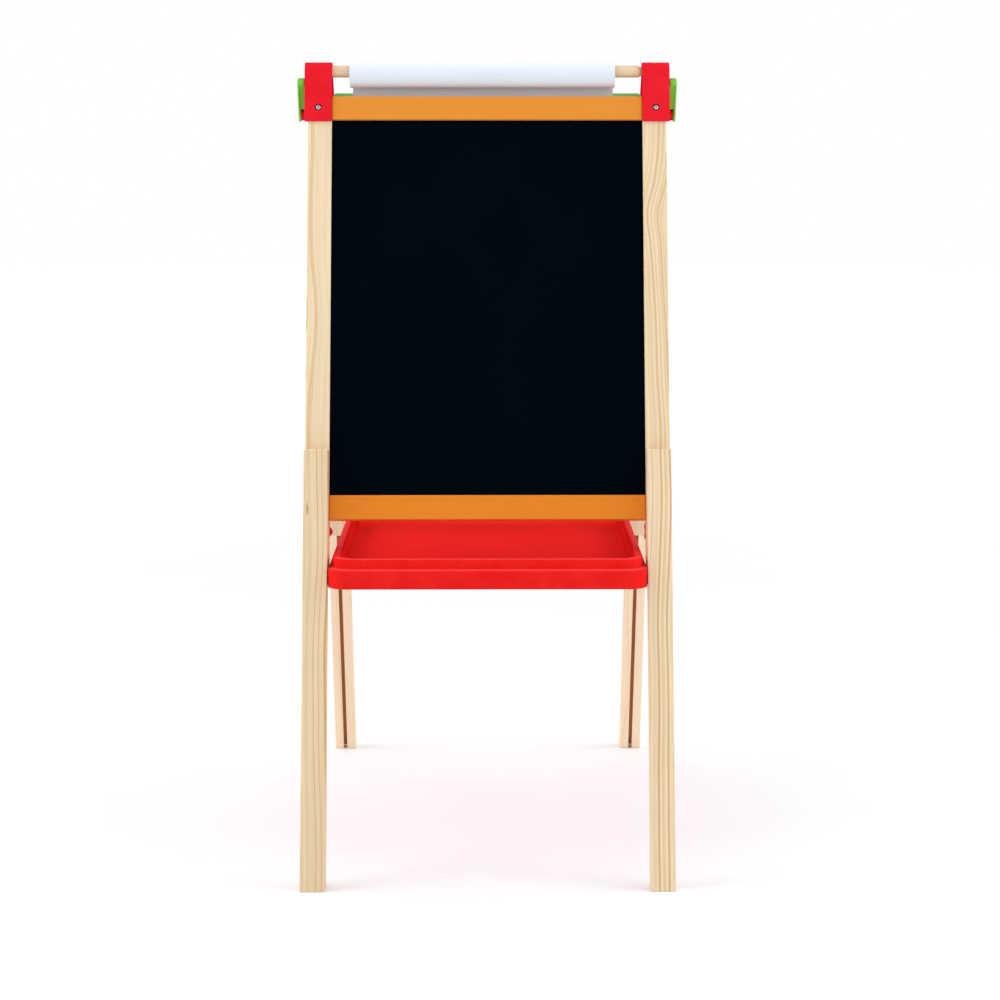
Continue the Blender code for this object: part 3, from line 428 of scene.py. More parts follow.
def make_moulding():
    """The skin of moulded plastic: fine spark-worn texture, slow flow marks and a few handling scuffs."""
    inputs = {"Place": (0.0, 0.0, 0.0), "Main": (0.8, 0.0, 0.0, 1.0), "Deep": (0.7, 0.0, 0.0, 1.0),
              "Roughness": 0.3}
    group, start, end = new_group("moulded_skin", inputs, ["Colour", "Roughness", "Height"])
    place = start["Place"]
    flow = noise(group, place, 34.0, 3.0, 0.5).outputs["Fac"]
    fine = noise(group, place, 2600.0, 2.0, 0.5).outputs["Fac"]
    scuff = noise(group, scaled_place(group, place, (260.0, 900.0, 420.0)), 1.0, 4.0, 0.7).outputs["Fac"]
    wear_and_sheen = graded(group, scuff, [(0.62, 0.0), (0.74, 1.0)])
    colour = blended(group, graded(group, flow, [(0.3, 0.0), (0.7, 1.0)]), start["Main"], start["Deep"])
    faded = blended(group, 0.06, colour, (1.0, 1.0, 1.0, 1.0))
    colour = blended(group, wear_and_sheen, colour, faded)
    rough = reckon(group, "MULTIPLY_ADD", wear_and_sheen, 0.16, start["Roughness"])
    rough = reckon(group, "MULTIPLY_ADD", fine, 0.10, rough)
    height = reckon(group, "MULTIPLY_ADD", wear_and_sheen, -0.5, fine)
    group.links.new(colour, end["Colour"])
    group.links.new(rough, end["Roughness"])
    group.links.new(height, end["Height"])
    return group


def moulded(name, main, deep, roughness=0.36, texture=0.00002, gloss=0.03):
    material, tree, shader, place = new_material(name, roughness)
    values = {"Place": place, "Main": paint_colour(*main), "Deep": paint_colour(*deep),
              "Roughness": roughness}
    skin = use_group(tree, moulding, values)
    tree.links.new(skin["Colour"], shader.inputs["Base Color"])
    tree.links.new(skin["Roughness"], shader.inputs["Roughness"])
    shader.inputs["Specular IOR Level"].default_value = gloss
    raise_surface(tree, shader, skin["Height"], texture)
    return material


moulding = make_moulding()


def smooth_copy(name, body, material, angle):
    """A CAD moulding with its curves shaded smooth: a merged copy that stands for the node."""
    bpy.ops.object.select_all(action="DESELECT")
    copy = bpy.data.objects.new(f"{name}_moulding", nodes[name].data.copy())
    bpy.context.scene.collection.objects.link(copy)
    copy.select_set(True)
    bpy.context.view_layer.objects.active = copy
    bpy.ops.object.mode_set(mode="EDIT")
    bpy.ops.mesh.select_all(action="SELECT")
    bpy.ops.mesh.remove_doubles(threshold=0.000002)
    bpy.ops.mesh.customdata_custom_splitnormals_clear()
    bpy.ops.mesh.mark_sharp(clear=True)
    bpy.ops.object.mode_set(mode="OBJECT")
    finish_piece(copy, material, body, (name,), angle)
    return copy


def finish_piece(piece, material, body, replaced=(), angle=35):
    """Applies a piece's place and shades it, then sets its finish, its body and the nodes it stands for."""
    bpy.ops.object.select_all(action="DESELECT")
    piece.select_set(True)
    bpy.context.view_layer.objects.active = piece
    bpy.ops.object.transform_apply(location=True, rotation=True, scale=True)
    bpy.ops.object.shade_smooth_by_angle(angle=math.radians(angle))
    piece.data.materials.clear()
    piece.data.materials.append(material)
    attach(piece, body)
    if replaced:
        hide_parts(*replaced)


def shaded_seat(material):
    """Painted shade: the red round the screw, at the bottom of its seat, is painted dark maroon for the
    shadow in the recess.
    """
    tree = material.node_tree
    shader = tree.nodes["Principled BSDF"]
    place = add_node(tree, "TexCoord").outputs["Object"]
    upright = turned_place(tree, place, slope_turn(-1), NO_TURN)
    parts = add_node(tree, "SeparateXYZ", {0: upright}).outputs
    across = reckon(tree, "SUBTRACT", reckon(tree, "ABSOLUTE", parts["X"]), SEAT_ACROSS)
    along = reckon(tree, "SUBTRACT", parts["Z"], HINGE.z * math.cos(LEAN))
    along = reckon(tree, "MULTIPLY", along, along)
    apart = reckon(tree, "SQRT", reckon(tree, "MULTIPLY_ADD", across, across, along))
    mask = graded(tree, reckon(tree, "MULTIPLY", apart, 100.0), [(0.44, 1.0), (0.475, 0.0)])
    red = shader.inputs["Base Color"].links[0].from_socket
    tree.links.new(blended(tree, mask, red, paint_colour(*SEAT_SHADE)), shader.inputs["Base Color"])


red_cap = moulded("red_cap_plastic", RED, RED_DEEP, gloss=0.0)
# Painted shade round the screw in each cap's seat.
shaded_seat(red_cap)
for side in SIDES:
    smooth_copy(f"hinge_cap_{side}", "front_frame", red_cap, 32)

# ---- Green hinge housings ----
# The back frame's mouldings wrap round the caps' bosses, with a hood over the pivot, so that the
# two frames fold on the pivot screws. Each is screwed to its stile's outer face.

green_housing = moulded("green_housing_plastic", (124, 204, 74), (112, 192, 62))
for side in SIDES:
    smooth_copy(f"hinge_housing_{side}", "back_frame", green_housing, 32)

# ---- Screws, pins and bolts ----
# Zinc-plated steel: cross-head screws through the mouldings and into the rail ends, the pivots, the
# clamp bolts in the legs' slots, the stop pins across the slots' feet and the tray's pins.


def zinc():
    material, tree, shader, place = new_material("zinc_plate", 0.3, 1.0)
    cloud = noise(tree, place, 420.0, 3.0, 0.6).outputs["Fac"]
    scratch = noise(tree, scaled_place(tree, place, (900.0, 4200.0, 2600.0)), 1.0, 2.0).outputs["Fac"]
    colour = graded(tree, cloud, [(0.3, paint_colour(176, 180, 184)), (0.7, paint_colour(214, 216, 214))])
    tree.links.new(colour, shader.inputs["Base Color"])
    rough = reckon(tree, "MULTIPLY_ADD", cloud, 0.3, 0.16)
    tree.links.new(rough, shader.inputs["Roughness"])
    raise_surface(tree, shader, scratch, 0.00001)
    return material


def start_ring(name, sides, radius, along=0.0):
    """The first ring of a turned or moulded piece, round the Z axis, ready in edit mode."""
    bpy.ops.object.select_all(action="DESELECT")
    bpy.ops.mesh.primitive_circle_add(vertices=sides, radius=radius, location=(0, 0, 0), fill_type="NOTHING")
    piece = bpy.context.object
    piece.name = name
    bpy.ops.object.mode_set(mode="EDIT")
    bpy.ops.mesh.select_all(action="SELECT")
    bpy.ops.transform.translate(value=(0, 0, along))
    return piece


def pull(along, across, beside=None):
    """Pulls the ring that is selected out by along, and resizes it by across (and beside, the other way)."""
    bpy.ops.mesh.extrude_region_move(TRANSFORM_OT_translate={"value": (0, 0, along)})
    size = (across, across if beside is None else beside, 1.0)
    bpy.ops.transform.resize(value=size, center_override=(0, 0, 0))


def close_ends():
    """Fills what is open, turns the faces out and leaves edit mode."""
    bpy.ops.mesh.select_all(action="SELECT")
    bpy.ops.mesh.remove_doubles(threshold=0.000001)
    bpy.ops.mesh.fill_holes(sides=0)
    bpy.ops.mesh.select_all(action="SELECT")
    bpy.ops.mesh.normals_make_consistent(inside=False)
    bpy.ops.object.mode_set(mode="OBJECT")


def turn_profile(name, sides, profile):
    """A turned piece about Z, pulled ring by ring through (along, radius) pairs and closed."""
    piece = start_ring(name, sides, profile[0][1], profile[0][0])
    for (along, radius), (next_along, next_radius) in zip(profile, profile[1:]):
        pull(next_along - along, next_radius / radius)
    close_ends()
    return piece


def set_at(place, axis, across=(1.0, 0.0, 0.0)):
    """Where a piece modelled upright is set: its Z along axis, and its X as near across as that allows."""
    along = Vector(axis).normalized()
    beside = Vector(across) - along * along.dot(Vector(across))
    beside.normalize()
    matrix = Matrix((beside, along.cross(beside), along)).transposed().to_4x4()
    matrix.translation = place
    return matrix


def apply_modifier(piece, kind, **settings):
    bpy.ops.object.select_all(action="DESELECT")
    piece.select_set(True)
    bpy.context.view_layer.objects.active = piece
    modifier = piece.modifiers.new(kind.lower(), kind)
    for setting, value in settings.items():
        setattr(modifier, setting, value)
    bpy.ops.object.modifier_apply(modifier=modifier.name)


def cut_away(piece, cutter):
    apply_modifier(piece, "BOOLEAN", operation="DIFFERENCE", object=cutter, solver="EXACT")
    bpy.data.objects.remove(cutter, do_unlink=True)


def cutting_block(low, high):
    """A square block between two corners, for cutting a slot."""
    bpy.ops.object.select_all(action="DESELECT")
    centre = (Vector(low) + Vector(high)) / 2
    bpy.ops.mesh.primitive_cube_add(size=1.0, location=centre, scale=Vector(high) - Vector(low))
    return bpy.context.object


def pan_screw(name, head, shank, length):
    """A cross-head pan screw standing on its underside: the shank runs down from the origin."""
    crown = 0.0019
    profile = [(-length, shank * 0.25), (-length + 0.004, shank), (0.0, shank), (0.0, head), (0.0007, head),
               (0.0012, head * 0.94), (0.0016, head * 0.80), (crown, head * 0.52)]
    screw = turn_profile(name, 28, profile)
    for reach_x, reach_y in ((0.55, 0.13), (0.13, 0.55)):
        half = Vector((head * reach_x, head * reach_y, 0.0))
        cut_away(screw, cutting_block(-half + Vector((0, 0, 0.0006)), half + Vector((0, 0, 0.003))))
    return screw


def copy_of(piece, name):
    copy = piece.copy()
    copy.data = piece.data.copy()
    copy.name = name
    bpy.context.scene.collection.objects.link(copy)
    return copy


def in_frame(facing, across, out, up):
    """A place in a leaning frame, in the row's own axes."""
    y = facing * (out * math.cos(LEAN) - up * math.sin(LEAN))
    return HINGE + Vector((across, y, up * math.cos(LEAN) + out * math.sin(LEAN)))


def out_of(facing):
    """The way a frame's board faces."""
    return Vector((0.0, facing * math.cos(LEAN), math.sin(LEAN)))


FACE_SCREW_X = 0.226
# Name: (facing, how far out its head sits)
FACE_SCREWS = {"cap_screw": ("front", 0.0324), "housing_screw": ("back", 0.03355)}
RAIL_SCREW_OUT = 0.0214
RAIL_SCREW_SEAT = 0.2380
RAIL_SCREW_UPS = {"top": 0.0070, "bottom": -0.5390}

zinc_plate = zinc()
for name in nodes:
    if any(word in name for word in ("_pin_", "bolt", "stud")):
        dress(name, zinc_plate)
face_pattern = pan_screw("face_screw_pattern", 0.0034, 0.0018, 0.016)
pivot_pattern = pan_screw("pivot_screw_pattern", 0.0039, 0.0022, 0.012)
rail_pattern = pan_screw("rail_screw_pattern", 0.0038, 0.0022, 0.052)
for side, sign in SIDES.items():
    for name, (facing, out) in FACE_SCREWS.items():
        screw = copy_of(face_pattern, f"{name}_{side}_finished")
        spin = (math.cos(sign * 0.5), 0.0, math.sin(sign * 0.5))
        screw.matrix_world = set_at(in_frame(FACINGS[facing], sign * FACE_SCREW_X, out, 0.0),
                                    out_of(FACINGS[facing]), spin)
        finish_piece(screw, zinc_plate, f"{facing}_frame", (f"{name}_{side}",), 30)
    low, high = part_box(f"pivot_screw_{side}")
    seat = (high.x if sign > 0 else low.x) - sign * 0.0019
    screw = copy_of(pivot_pattern, f"pivot_screw_{side}_finished")
    screw.matrix_world = set_at((seat, HINGE.y, HINGE.z), (sign, 0.0, 0.0), (0.0, 0.8, 0.6))
    finish_piece(screw, zinc_plate, "back_frame", (f"pivot_screw_{side}",), 30)
    for where, facing in FACINGS.items():
        for level, up in RAIL_SCREW_UPS.items():
            node = f"{where}_{level}_rail_screw_{side}"
            screw = copy_of(rail_pattern, f"{node}_finished")
            seated = in_frame(facing, sign * (RAIL_SCREW_SEAT - 0.0001), RAIL_SCREW_OUT, up)
            screw.matrix_world = set_at(seated, (sign, 0.0, 0.0), (0.0, 0.9, 0.4))
            finish_piece(screw, zinc_plate, f"{where}_frame", (node,), 30)
for pattern in (face_pattern, pivot_pattern, rail_pattern):
    bpy.data.objects.remove(pattern, do_unlink=True)

# ---- Dowel ----
# A turned pine rod with a thinner peg and a chamfer at each end, which sits in the caps' barrels and
# is slid along to take it out.

DOWEL_RADIUS = 0.0078
PEG_RADIUS = 0.0052
PEG_LENGTH = 0.015
DOWEL_CHAMFER = 0.0048

dowel_low, dowel_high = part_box("paper_dowel")
dowel_middle = (dowel_low + dowel_high) / 2
half = (dowel_high.x - dowel_low.x) / 2
peg_end = half - PEG_LENGTH
outline = [(half, PEG_RADIUS - 0.0012), (half - 0.0004, PEG_RADIUS - 0.0004), (half - 0.0012, PEG_RADIUS),
           (peg_end + 0.0002, PEG_RADIUS), (peg_end, PEG_RADIUS + 0.0002),
           (peg_end - DOWEL_CHAMFER + 0.0003, DOWEL_RADIUS - 0.0001),
           (peg_end - DOWEL_CHAMFER - 0.0003, DOWEL_RADIUS)]
dowel = turn_profile("dowel_finished", 64, [(-along, radius) for along, radius in outline] + outline[::-1])
dowel.matrix_world = set_at(dowel_middle, (1.0, 0.0, 0.0), (0.0, 1.0, 0.0))
pine_dowel = pine("pine_dowel", (0.0, math.pi / 2, 0.0), (1.062, 0.013, 8.0), 0.0030, 0.004)
finish_piece(dowel, pine_dowel, "dowel", ("paper_dowel",), 28)

# ---- Paper roll ----
# A 356 mm roll of white drawing paper wound on a brown card core, hung loosely on the dowel. The
# layers stand a little in and out at the ends. The loose end hangs behind the roll and curls forwards.

PAPER_LAYERS = 11
LAYER_STAGGER = (0.0, 0.45, 0.1, 0.6, 0.25, 0.0, 0.5, 0.15, 0.7, 0.3, 0.0, 0.35)
LAYER_STEP = 0.0007
TAIL_FLAT = (0.3516, 0.158)
TAIL_THICK = 0.0003
TAIL_LEAVES_AT = 70
TAIL_WRAP = 26
TAIL_KICK = 9
TAIL_CURL = 0.30
TAIL_RIPPLE = 0.0007


def drawing_paper(name, tint):
    material, tree, shader, place = new_material(name, 0.86)
    fibre = noise(tree, scaled_place(tree, place, (1500.0, 1900.0, 1900.0)), 1.0, 3.0, 0.6).outputs["Fac"]
    cockle = noise(tree, scaled_place(tree, place, (9.0, 30.0, 30.0)), 1.0, 2.0, 0.5).outputs["Fac"]
    pale = [channel * 0.955 for channel in paint_colour(*tint)[:3]]
    colour = graded(tree, fibre, [(0.30, (*pale, 1.0)), (0.60, paint_colour(*tint))])
    shade = graded(tree, cockle, [(0.3, 0.97), (0.65, 1.0)])
    colour = blended(tree, 1.0, colour, shade, "MULTIPLY")
    tree.links.new(colour, shader.inputs["Base Color"])
    tree.links.new(reckon(tree, "MULTIPLY_ADD", fibre, 0.15, 0.75), shader.inputs["Roughness"])
    shader.inputs["Specular IOR Level"].default_value = 0.2
    height = reckon(tree, "MULTIPLY_ADD", cockle, 8.0, fibre)
    raise_surface(tree, shader, height, 0.00001)
    return material


def core_board():
    material, tree, shader, place = new_material("core_board", 0.9)
    spiral = noise(tree, scaled_place(tree, place, (60.0, 900.0, 900.0)), 1.0, 3.0, 0.6).outputs["Fac"]
    colour = graded(tree, spiral, [(0.3, paint_colour(150, 112, 76)), (0.7, paint_colour(188, 150, 108))])
    tree.links.new(colour, shader.inputs["Base Color"])
    raise_surface(tree, shader, spiral, 0.00005)
    return material


def wound_end(outer, inner, end, inward):
    """(along, radius) of one end of the roll from the outside in, each layer a little in or out."""
    points = []
    for layer in range(PAPER_LAYERS):
        radius = outer + (inner - outer) * layer / PAPER_LAYERS
        sunk = end + inward * LAYER_STEP * LAYER_STAGGER[layer]
        points += [(sunk, radius), (sunk, radius + (inner - outer) * 0.72 / PAPER_LAYERS)]
    return points


def tube_profile(name, sides, profile):
    """A hollow turned piece: the profile's last ring is bridged back to its first."""
    piece = start_ring(name, sides, profile[0][1], profile[0][0])
    for (along, radius), (next_along, next_radius) in zip(profile, profile[1:]):
        pull(next_along - along, next_radius / radius)
    bpy.ops.mesh.select_all(action="DESELECT")
    bpy.ops.mesh.select_non_manifold()
    bpy.ops.mesh.bridge_edge_loops()
    bpy.ops.mesh.select_all(action="SELECT")
    bpy.ops.mesh.normals_make_consistent(inside=False)
    bpy.ops.object.mode_set(mode="OBJECT")
    return piece


def hanging_route(centre, radius):
    """(y, z) points down the loose end: out from under the roll's last layer, down, and curling forwards."""
    route = []
    for step in range(9):
        share = step / 8
        angle = math.radians(TAIL_LEAVES_AT + TAIL_WRAP * (1 - share))
        reach = radius - 0.00015 + 0.0004 * share
        route.append(Vector((centre.y + reach * math.sin(angle), centre.z - reach * math.cos(angle))))
    heading = math.radians(TAIL_LEAVES_AT - 90)
    place = route[-1].copy()
    steps = 45
    stride = (TAIL_FLAT[1] - radius * math.radians(TAIL_WRAP)) / steps
    for step in range(steps):
        place += Vector((math.sin(heading), -math.cos(heading))) * stride
        route.append(place.copy())
        if step in (3, 4, 5, 6, 7, 8):
            heading += math.radians(TAIL_KICK / 6)
        if step > 8:
            heading -= stride / TAIL_CURL
    return route


def hanging_sheet(route, low_x, high_x):
    """The loose end as one thin sheet with a slight ripple that grows away from the roll."""
    columns = 60
    points, faces = [], []
    for row, (y, z) in enumerate(route):
        freedom = max(0, row - 10) / (len(route) - 11)
        for column in range(columns + 1):
            x = low_x + (high_x - low_x) * column / columns
            ripple = math.sin(x * 31.0 + 0.6) + 0.5 * math.sin(x * 67.0 + row * 0.05)
            points.append((x, y + TAIL_RIPPLE * freedom * ripple, z))
    for row in range(len(route) - 1):
        for column in range(columns):
            corner = row * (columns + 1) + column
            faces.append((corner, corner + 1, corner + columns + 2, corner + columns + 1))
    mesh = bpy.data.meshes.new("hanging_paper")
    mesh.from_pydata(points, [], faces)
    sheet = bpy.data.objects.new("hanging_paper", mesh)
    bpy.context.scene.collection.objects.link(sheet)
    apply_modifier(sheet, "SOLIDIFY", thickness=TAIL_THICK, offset=0.0)
    return sheet


roll_low, roll_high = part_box("paper_roll")
roll_middle = (roll_low + roll_high) / 2
roll_radius = (roll_high.z - roll_low.z) / 2
core_low, core_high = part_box("roll_core")
core_radius = (core_high.z - core_low.z) / 2
half = (roll_high.x - roll_low.x) / 2
left_end = wound_end(roll_radius, core_radius + 0.0001, -half, 1.0)
right_end = wound_end(roll_radius, core_radius + 0.0001, half, -1.0)
roll = tube_profile("wound_paper", 96, left_end[::-1] + right_end)
roll.matrix_world = set_at(roll_middle, (1.0, 0.0, 0.0), (0.0, 1.0, 0.0))
white_paper = drawing_paper("white_paper", (230, 236, 246))
finish_piece(roll, white_paper, "roll", ("paper_roll",), 40)

half = (core_high.x - core_low.x) / 2
bore = DOWEL_RADIUS + 0.0048
core = tube_profile("card_core", 64, [(-half, bore), (-half, core_radius), (half, core_radius), (half, bore)])
core.matrix_world = set_at((core_low + core_high) / 2, (1.0, 0.0, 0.0), (0.0, 1.0, 0.0))
finish_piece(core, core_board(), "roll", ("roll_core",), 40)

tail_low, tail_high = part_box("paper_tail")
tail = hanging_sheet(hanging_route(roll_middle, roll_radius), tail_low.x, tail_high.x)
finish_piece(tail, white_paper, "front_frame", ("paper_tail",), 50)

# ---- Tray ----
# One red vacuum-formed tray: a deep skirt, a ledge, a raised rim and a well with soft corners. It
# hangs on pins between the two frames, with a notch over the front pins and a rebate for the back ones.

TRAY_WALL = 0.0026
TRAY_CORNER = 0.024
LEDGE_DOWN = 0.0133
FLOOR_DOWN = 0.0268
RIM_IN = (0.006, 0.009)
WELL_IN = (0.0145, 0.0175)
PIN_PLAY = 0.0028
NOTCH_HALF = 0.0050
REBATE_START = 0.014
# Painted light for the tray: a paler red as a painted highlight on the ledge's and rim's tops, and a brighter
# red to lift the shaded well's floor.
TOP_SHEEN_RED = (236, 74, 78)
WELL_LIT_RED = (255, 44, 42)

tray_low, tray_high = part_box("tray")
tray_half = (tray_high - tray_low) / 2
rim_z = tray_high.z
ledge_z = rim_z - LEDGE_DOWN
floor_z = rim_z - FLOOR_DOWN


def tray_shell():
    """The tray as rings: from under its floor, out over the skirt's edge and back to the well's floor."""
    wall = TRAY_WALL
    rings = [
        (WELL_IN[0] - wall + 0.004, WELL_IN[1] - wall + 0.004, floor_z - wall),
        (WELL_IN[0] - wall, WELL_IN[1] - wall, floor_z - wall + 0.003),
        (WELL_IN[0] - wall, WELL_IN[1] - wall, rim_z - wall),
        (RIM_IN[0] + wall, RIM_IN[1] + wall, rim_z - wall),
        (RIM_IN[0] + wall, RIM_IN[1] + wall, ledge_z - wall),
        (wall, wall, ledge_z - wall),
        (wall, wall, tray_low.z),
        (0.0, 0.0, tray_low.z),
        (0.0, 0.0, ledge_z - 0.0022),
        (0.0007, 0.0007, ledge_z - 0.0006),
        (0.0024, 0.0024, ledge_z),
        (RIM_IN[0] - 0.0012, RIM_IN[1] - 0.0012, ledge_z),
        (RIM_IN[0], RIM_IN[1], ledge_z + 0.0012),
        (RIM_IN[0] + 0.0002, RIM_IN[1] + 0.0002, rim_z - 0.0018),
        (RIM_IN[0] + 0.0008, RIM_IN[1] + 0.0008, rim_z - 0.0005),
        (RIM_IN[0] + 0.0022, RIM_IN[1] + 0.0022, rim_z),
        (WELL_IN[0] - 0.0022, WELL_IN[1] - 0.0022, rim_z),
        (WELL_IN[0] - 0.0008, WELL_IN[1] - 0.0008, rim_z - 0.0005),
        (WELL_IN[0], WELL_IN[1], rim_z - 0.0020),
        (WELL_IN[0] + 0.0010, WELL_IN[1] + 0.0010, floor_z + 0.0045),
        (WELL_IN[0] + 0.0022, WELL_IN[1] + 0.0022, floor_z + 0.0016),
        (WELL_IN[0] + 0.0050, WELL_IN[1] + 0.0050, floor_z),
    ]
    bpy.ops.object.select_all(action="DESELECT")
    bpy.ops.mesh.primitive_plane_add(size=2.0, location=(0, 0, 0))
    tray = bpy.context.object
    tray.name = "tray_formed"
    bpy.ops.object.mode_set(mode="EDIT")
    bpy.ops.mesh.select_all(action="SELECT")
    bpy.ops.transform.resize(value=(tray_half.x, tray_half.y, 1.0), center_override=(0, 0, 0))
    bpy.ops.mesh.bevel(offset=TRAY_CORNER, offset_type="OFFSET", segments=10, affect="VERTICES")
    bpy.ops.mesh.select_all(action="SELECT")
    bpy.ops.mesh.delete(type="ONLY_FACE")
    bpy.ops.mesh.select_all(action="SELECT")
    first = rings[0]
    size = ((tray_half.x - first[0]) / tray_half.x, (tray_half.y - first[1]) / tray_half.y, 1.0)
    bpy.ops.transform.resize(value=size, center_override=(0, 0, 0))
    bpy.ops.transform.translate(value=(0, 0, first[2]))
    for (in_x, in_y, z), (next_x, next_y, next_z) in zip(rings, rings[1:]):
        pull(next_z - z, (tray_half.x - next_x) / (tray_half.x - in_x),
             (tray_half.y - next_y) / (tray_half.y - in_y))
    close_ends()
    return tray


def painted_tray_light(material, levels):
    """Painted highlight: the ledge's and the rim's tops are painted a paler red in patches, where light from
    above catches them; and painted light: the well's floor is painted a brighter red to lift the shade in the
    well.
    """
    tree = material.node_tree
    shader = tree.nodes["Principled BSDF"]
    place = add_node(tree, "TexCoord").outputs["Object"]
    parts = add_node(tree, "SeparateXYZ", {0: place}).outputs
    height = parts["Z"]
    sheen_patches = noise(tree, scaled_place(tree, place, (60.0, 60.0, 60.0)), 1.0, 4.0, 0.6).outputs["Fac"]
    masks = [reckon(tree, "COMPARE", height, level, 0.0005) for level in levels]
    wear_and_sheen = graded(tree, sheen_patches, [(0.2, 0.45), (0.6, 0.75)])
    mask = reckon(tree, "MULTIPLY", reckon(tree, "MAXIMUM", *masks), wear_and_sheen)
    red = shader.inputs["Base Color"].links[0].from_socket
    pale = blended(tree, mask, red, paint_colour(*TOP_SHEEN_RED))
    across = reckon(tree, "ABSOLUTE", parts["X"])
    along = reckon(tree, "ABSOLUTE", parts["Y"])
    inside_x = reckon(tree, "LESS_THAN", across, tray_half.x - WELL_IN[0] + 0.0002)
    inside_y = reckon(tree, "LESS_THAN", along, tray_half.y - WELL_IN[1] + 0.0002)
    inside = reckon(tree, "MULTIPLY", inside_x, inside_y)
    well = reckon(tree, "MULTIPLY", reckon(tree, "COMPARE", height, floor_z, 0.0010), inside)
    tree.links.new(blended(tree, well, pale, paint_colour(*WELL_LIT_RED)), shader.inputs["Base Color"])


pin = Vector(joints["tray_tilt"]["pos_m"])
tray = tray_shell()
for sign in SIDES.values():
    inner, outer = sorted((sign * (tray_half.x - 0.006), sign * (tray_half.x + 0.01)))
    under = tray_low.z - 0.01
    cut_away(tray, cutting_block((inner, pin.y - NOTCH_HALF, under), (outer, pin.y + NOTCH_HALF, pin.z)))
    cut_away(tray, cutting_block((inner, pin.y + REBATE_START, under),
                                 (outer, -pin.y + PIN_PLAY, pin.z + PIN_PLAY)))
    bpy.ops.object.select_all(action="DESELECT")
    centre = ((inner + outer) / 2, pin.y, pin.z)
    bpy.ops.mesh.primitive_cylinder_add(vertices=32, radius=NOTCH_HALF, depth=outer - inner, location=centre,
                                        rotation=(0, math.pi / 2, 0))
    cut_away(tray, bpy.context.object)
red_tray = moulded("red_tray_plastic", (236, 38, 34), (230, 30, 28), 0.5, 0.00003, 0.0)
# Painted highlight on the ledge's and rim's tops, and painted light on the well's floor.
painted_tray_light(red_tray, (ledge_z, rim_z))
finish_piece(tray, red_tray, "tray", ("tray",), 35)
for side in SIDES:
    smooth_copy(f"tray_bush_{side}", "tray_bushes", red_tray, 40)

# ---- Clamp knobs ----
# Five-lobed red knobs with a round hub, moulded in one round a nut, behind each stile. They draw the
# bolts tight to hold the legs at a height.

KNOB_SIDES = 60
KNOB_LOBES = 5
KNOB_LOBE_SHARE = 0.094
KNOB_WAVY_BEYOND = 0.0125
KNOB_HUB = 0.0090
KNOB_GRIP = 0.0170
KNOB_PROFILE = [(0.0, KNOB_HUB - 0.0006), (0.0006, KNOB_HUB), (0.0068, KNOB_HUB),
                (0.0077, KNOB_HUB + 0.0009), (0.0077, 0.0145), (0.0081, 0.0159), (0.0092, 0.0168),
                (0.0106, KNOB_GRIP), (0.0166, KNOB_GRIP),
                (0.0181, 0.0167), (0.0192, 0.0157), (0.0197, 0.0134), (0.0196, 0.0086), (0.0189, 0.0078),
                (0.0182, 0.0070), (0.0181, 0.0040)]


def clamp_knob():
    """One solid knob about Z, its hub's face at the origin: rings are pulled, then the grip's made wavy."""
    knob = turn_profile("clamp_knob_pattern", KNOB_SIDES, KNOB_PROFILE)
    per_lobe = KNOB_SIDES // KNOB_LOBES
    bpy.ops.object.mode_set(mode="EDIT")
    bpy.ops.mesh.select_mode(type="VERT")
    for level in range(per_lobe // 2 + 1):
        bpy.ops.mesh.select_all(action="DESELECT")
        bpy.ops.object.mode_set(mode="OBJECT")
        for vert in knob.data.vertices:
            step = round(math.atan2(vert.co.y, vert.co.x) / (2 * math.pi) * KNOB_SIDES) % per_lobe
            wavy = math.hypot(vert.co.x, vert.co.y) > KNOB_WAVY_BEYOND
            vert.select = wavy and min(step, per_lobe - step) == level
        bpy.ops.object.mode_set(mode="EDIT")
        swell = 1 + KNOB_LOBE_SHARE * math.cos(2 * math.pi * level / per_lobe)
        bpy.ops.transform.resize(value=(swell, swell, 1.0), center_override=(0, 0, 0))
    bpy.ops.object.mode_set(mode="OBJECT")
    return knob


red_knob = moulded("red_knob_plastic", (226, 16, 30), (212, 10, 24), 0.28)
knob_pattern = clamp_knob()
for where in FACINGS:
    for side in SIDES:
        spin = joints[f"{where}_knob_{side}_spin"]
        knob = copy_of(knob_pattern, f"{where}_clamp_knob_{side}")
        knob.matrix_world = set_at(spin["pos_m"], -Vector(spin["axis"]))
        finish_piece(knob, red_knob, f"{where}_knob_{side}", (f"{where}_knob_{side}",), 40)
bpy.data.objects.remove(knob_pattern, do_unlink=True)

# ---- Paper clamp ----
# A thin pine bar across the green rail, which grips a sheet's top edge when two blue screw knobs are
# turned down on it. No sheet is under it. The knobs have a domed top and a shallow groove round them.

DOME_PROFILE = [(0.0, 0.0098), (0.0005, 0.0104), (0.0016, 0.0106), (0.0022, 0.0106), (0.0028, 0.0113),
                (0.0036, 0.0115), (0.0088, 0.0115), (0.0104, 0.0111), (0.0119, 0.0101), (0.0131, 0.0084),
                (0.0137, 0.0062), (0.01395, 0.0038), (0.0140, 0.0012)]

pine_bar = pine("pine_guide_bar", (0.0, math.pi / 2, 0.0), (1.012, 0.03, 9.0), 0.004, 0.006)
dress("paper_guide_bar", pine_bar)
blue_knob = moulded("blue_knob_plastic", (98, 186, 214), (84, 172, 204), 0.25)
dome_pattern = turn_profile("dome_knob_pattern", 48, DOME_PROFILE)
for side in SIDES:
    spin = joints[f"guide_knob_{side}_spin"]
    dome = copy_of(dome_pattern, f"dome_knob_{side}")
    dome.matrix_world = set_at(spin["pos_m"], spin["axis"])
    finish_piece(dome, blue_knob, f"guide_knob_{side}", (f"guide_knob_{side}",), 40)
bpy.data.objects.remove(dome_pattern, do_unlink=True)

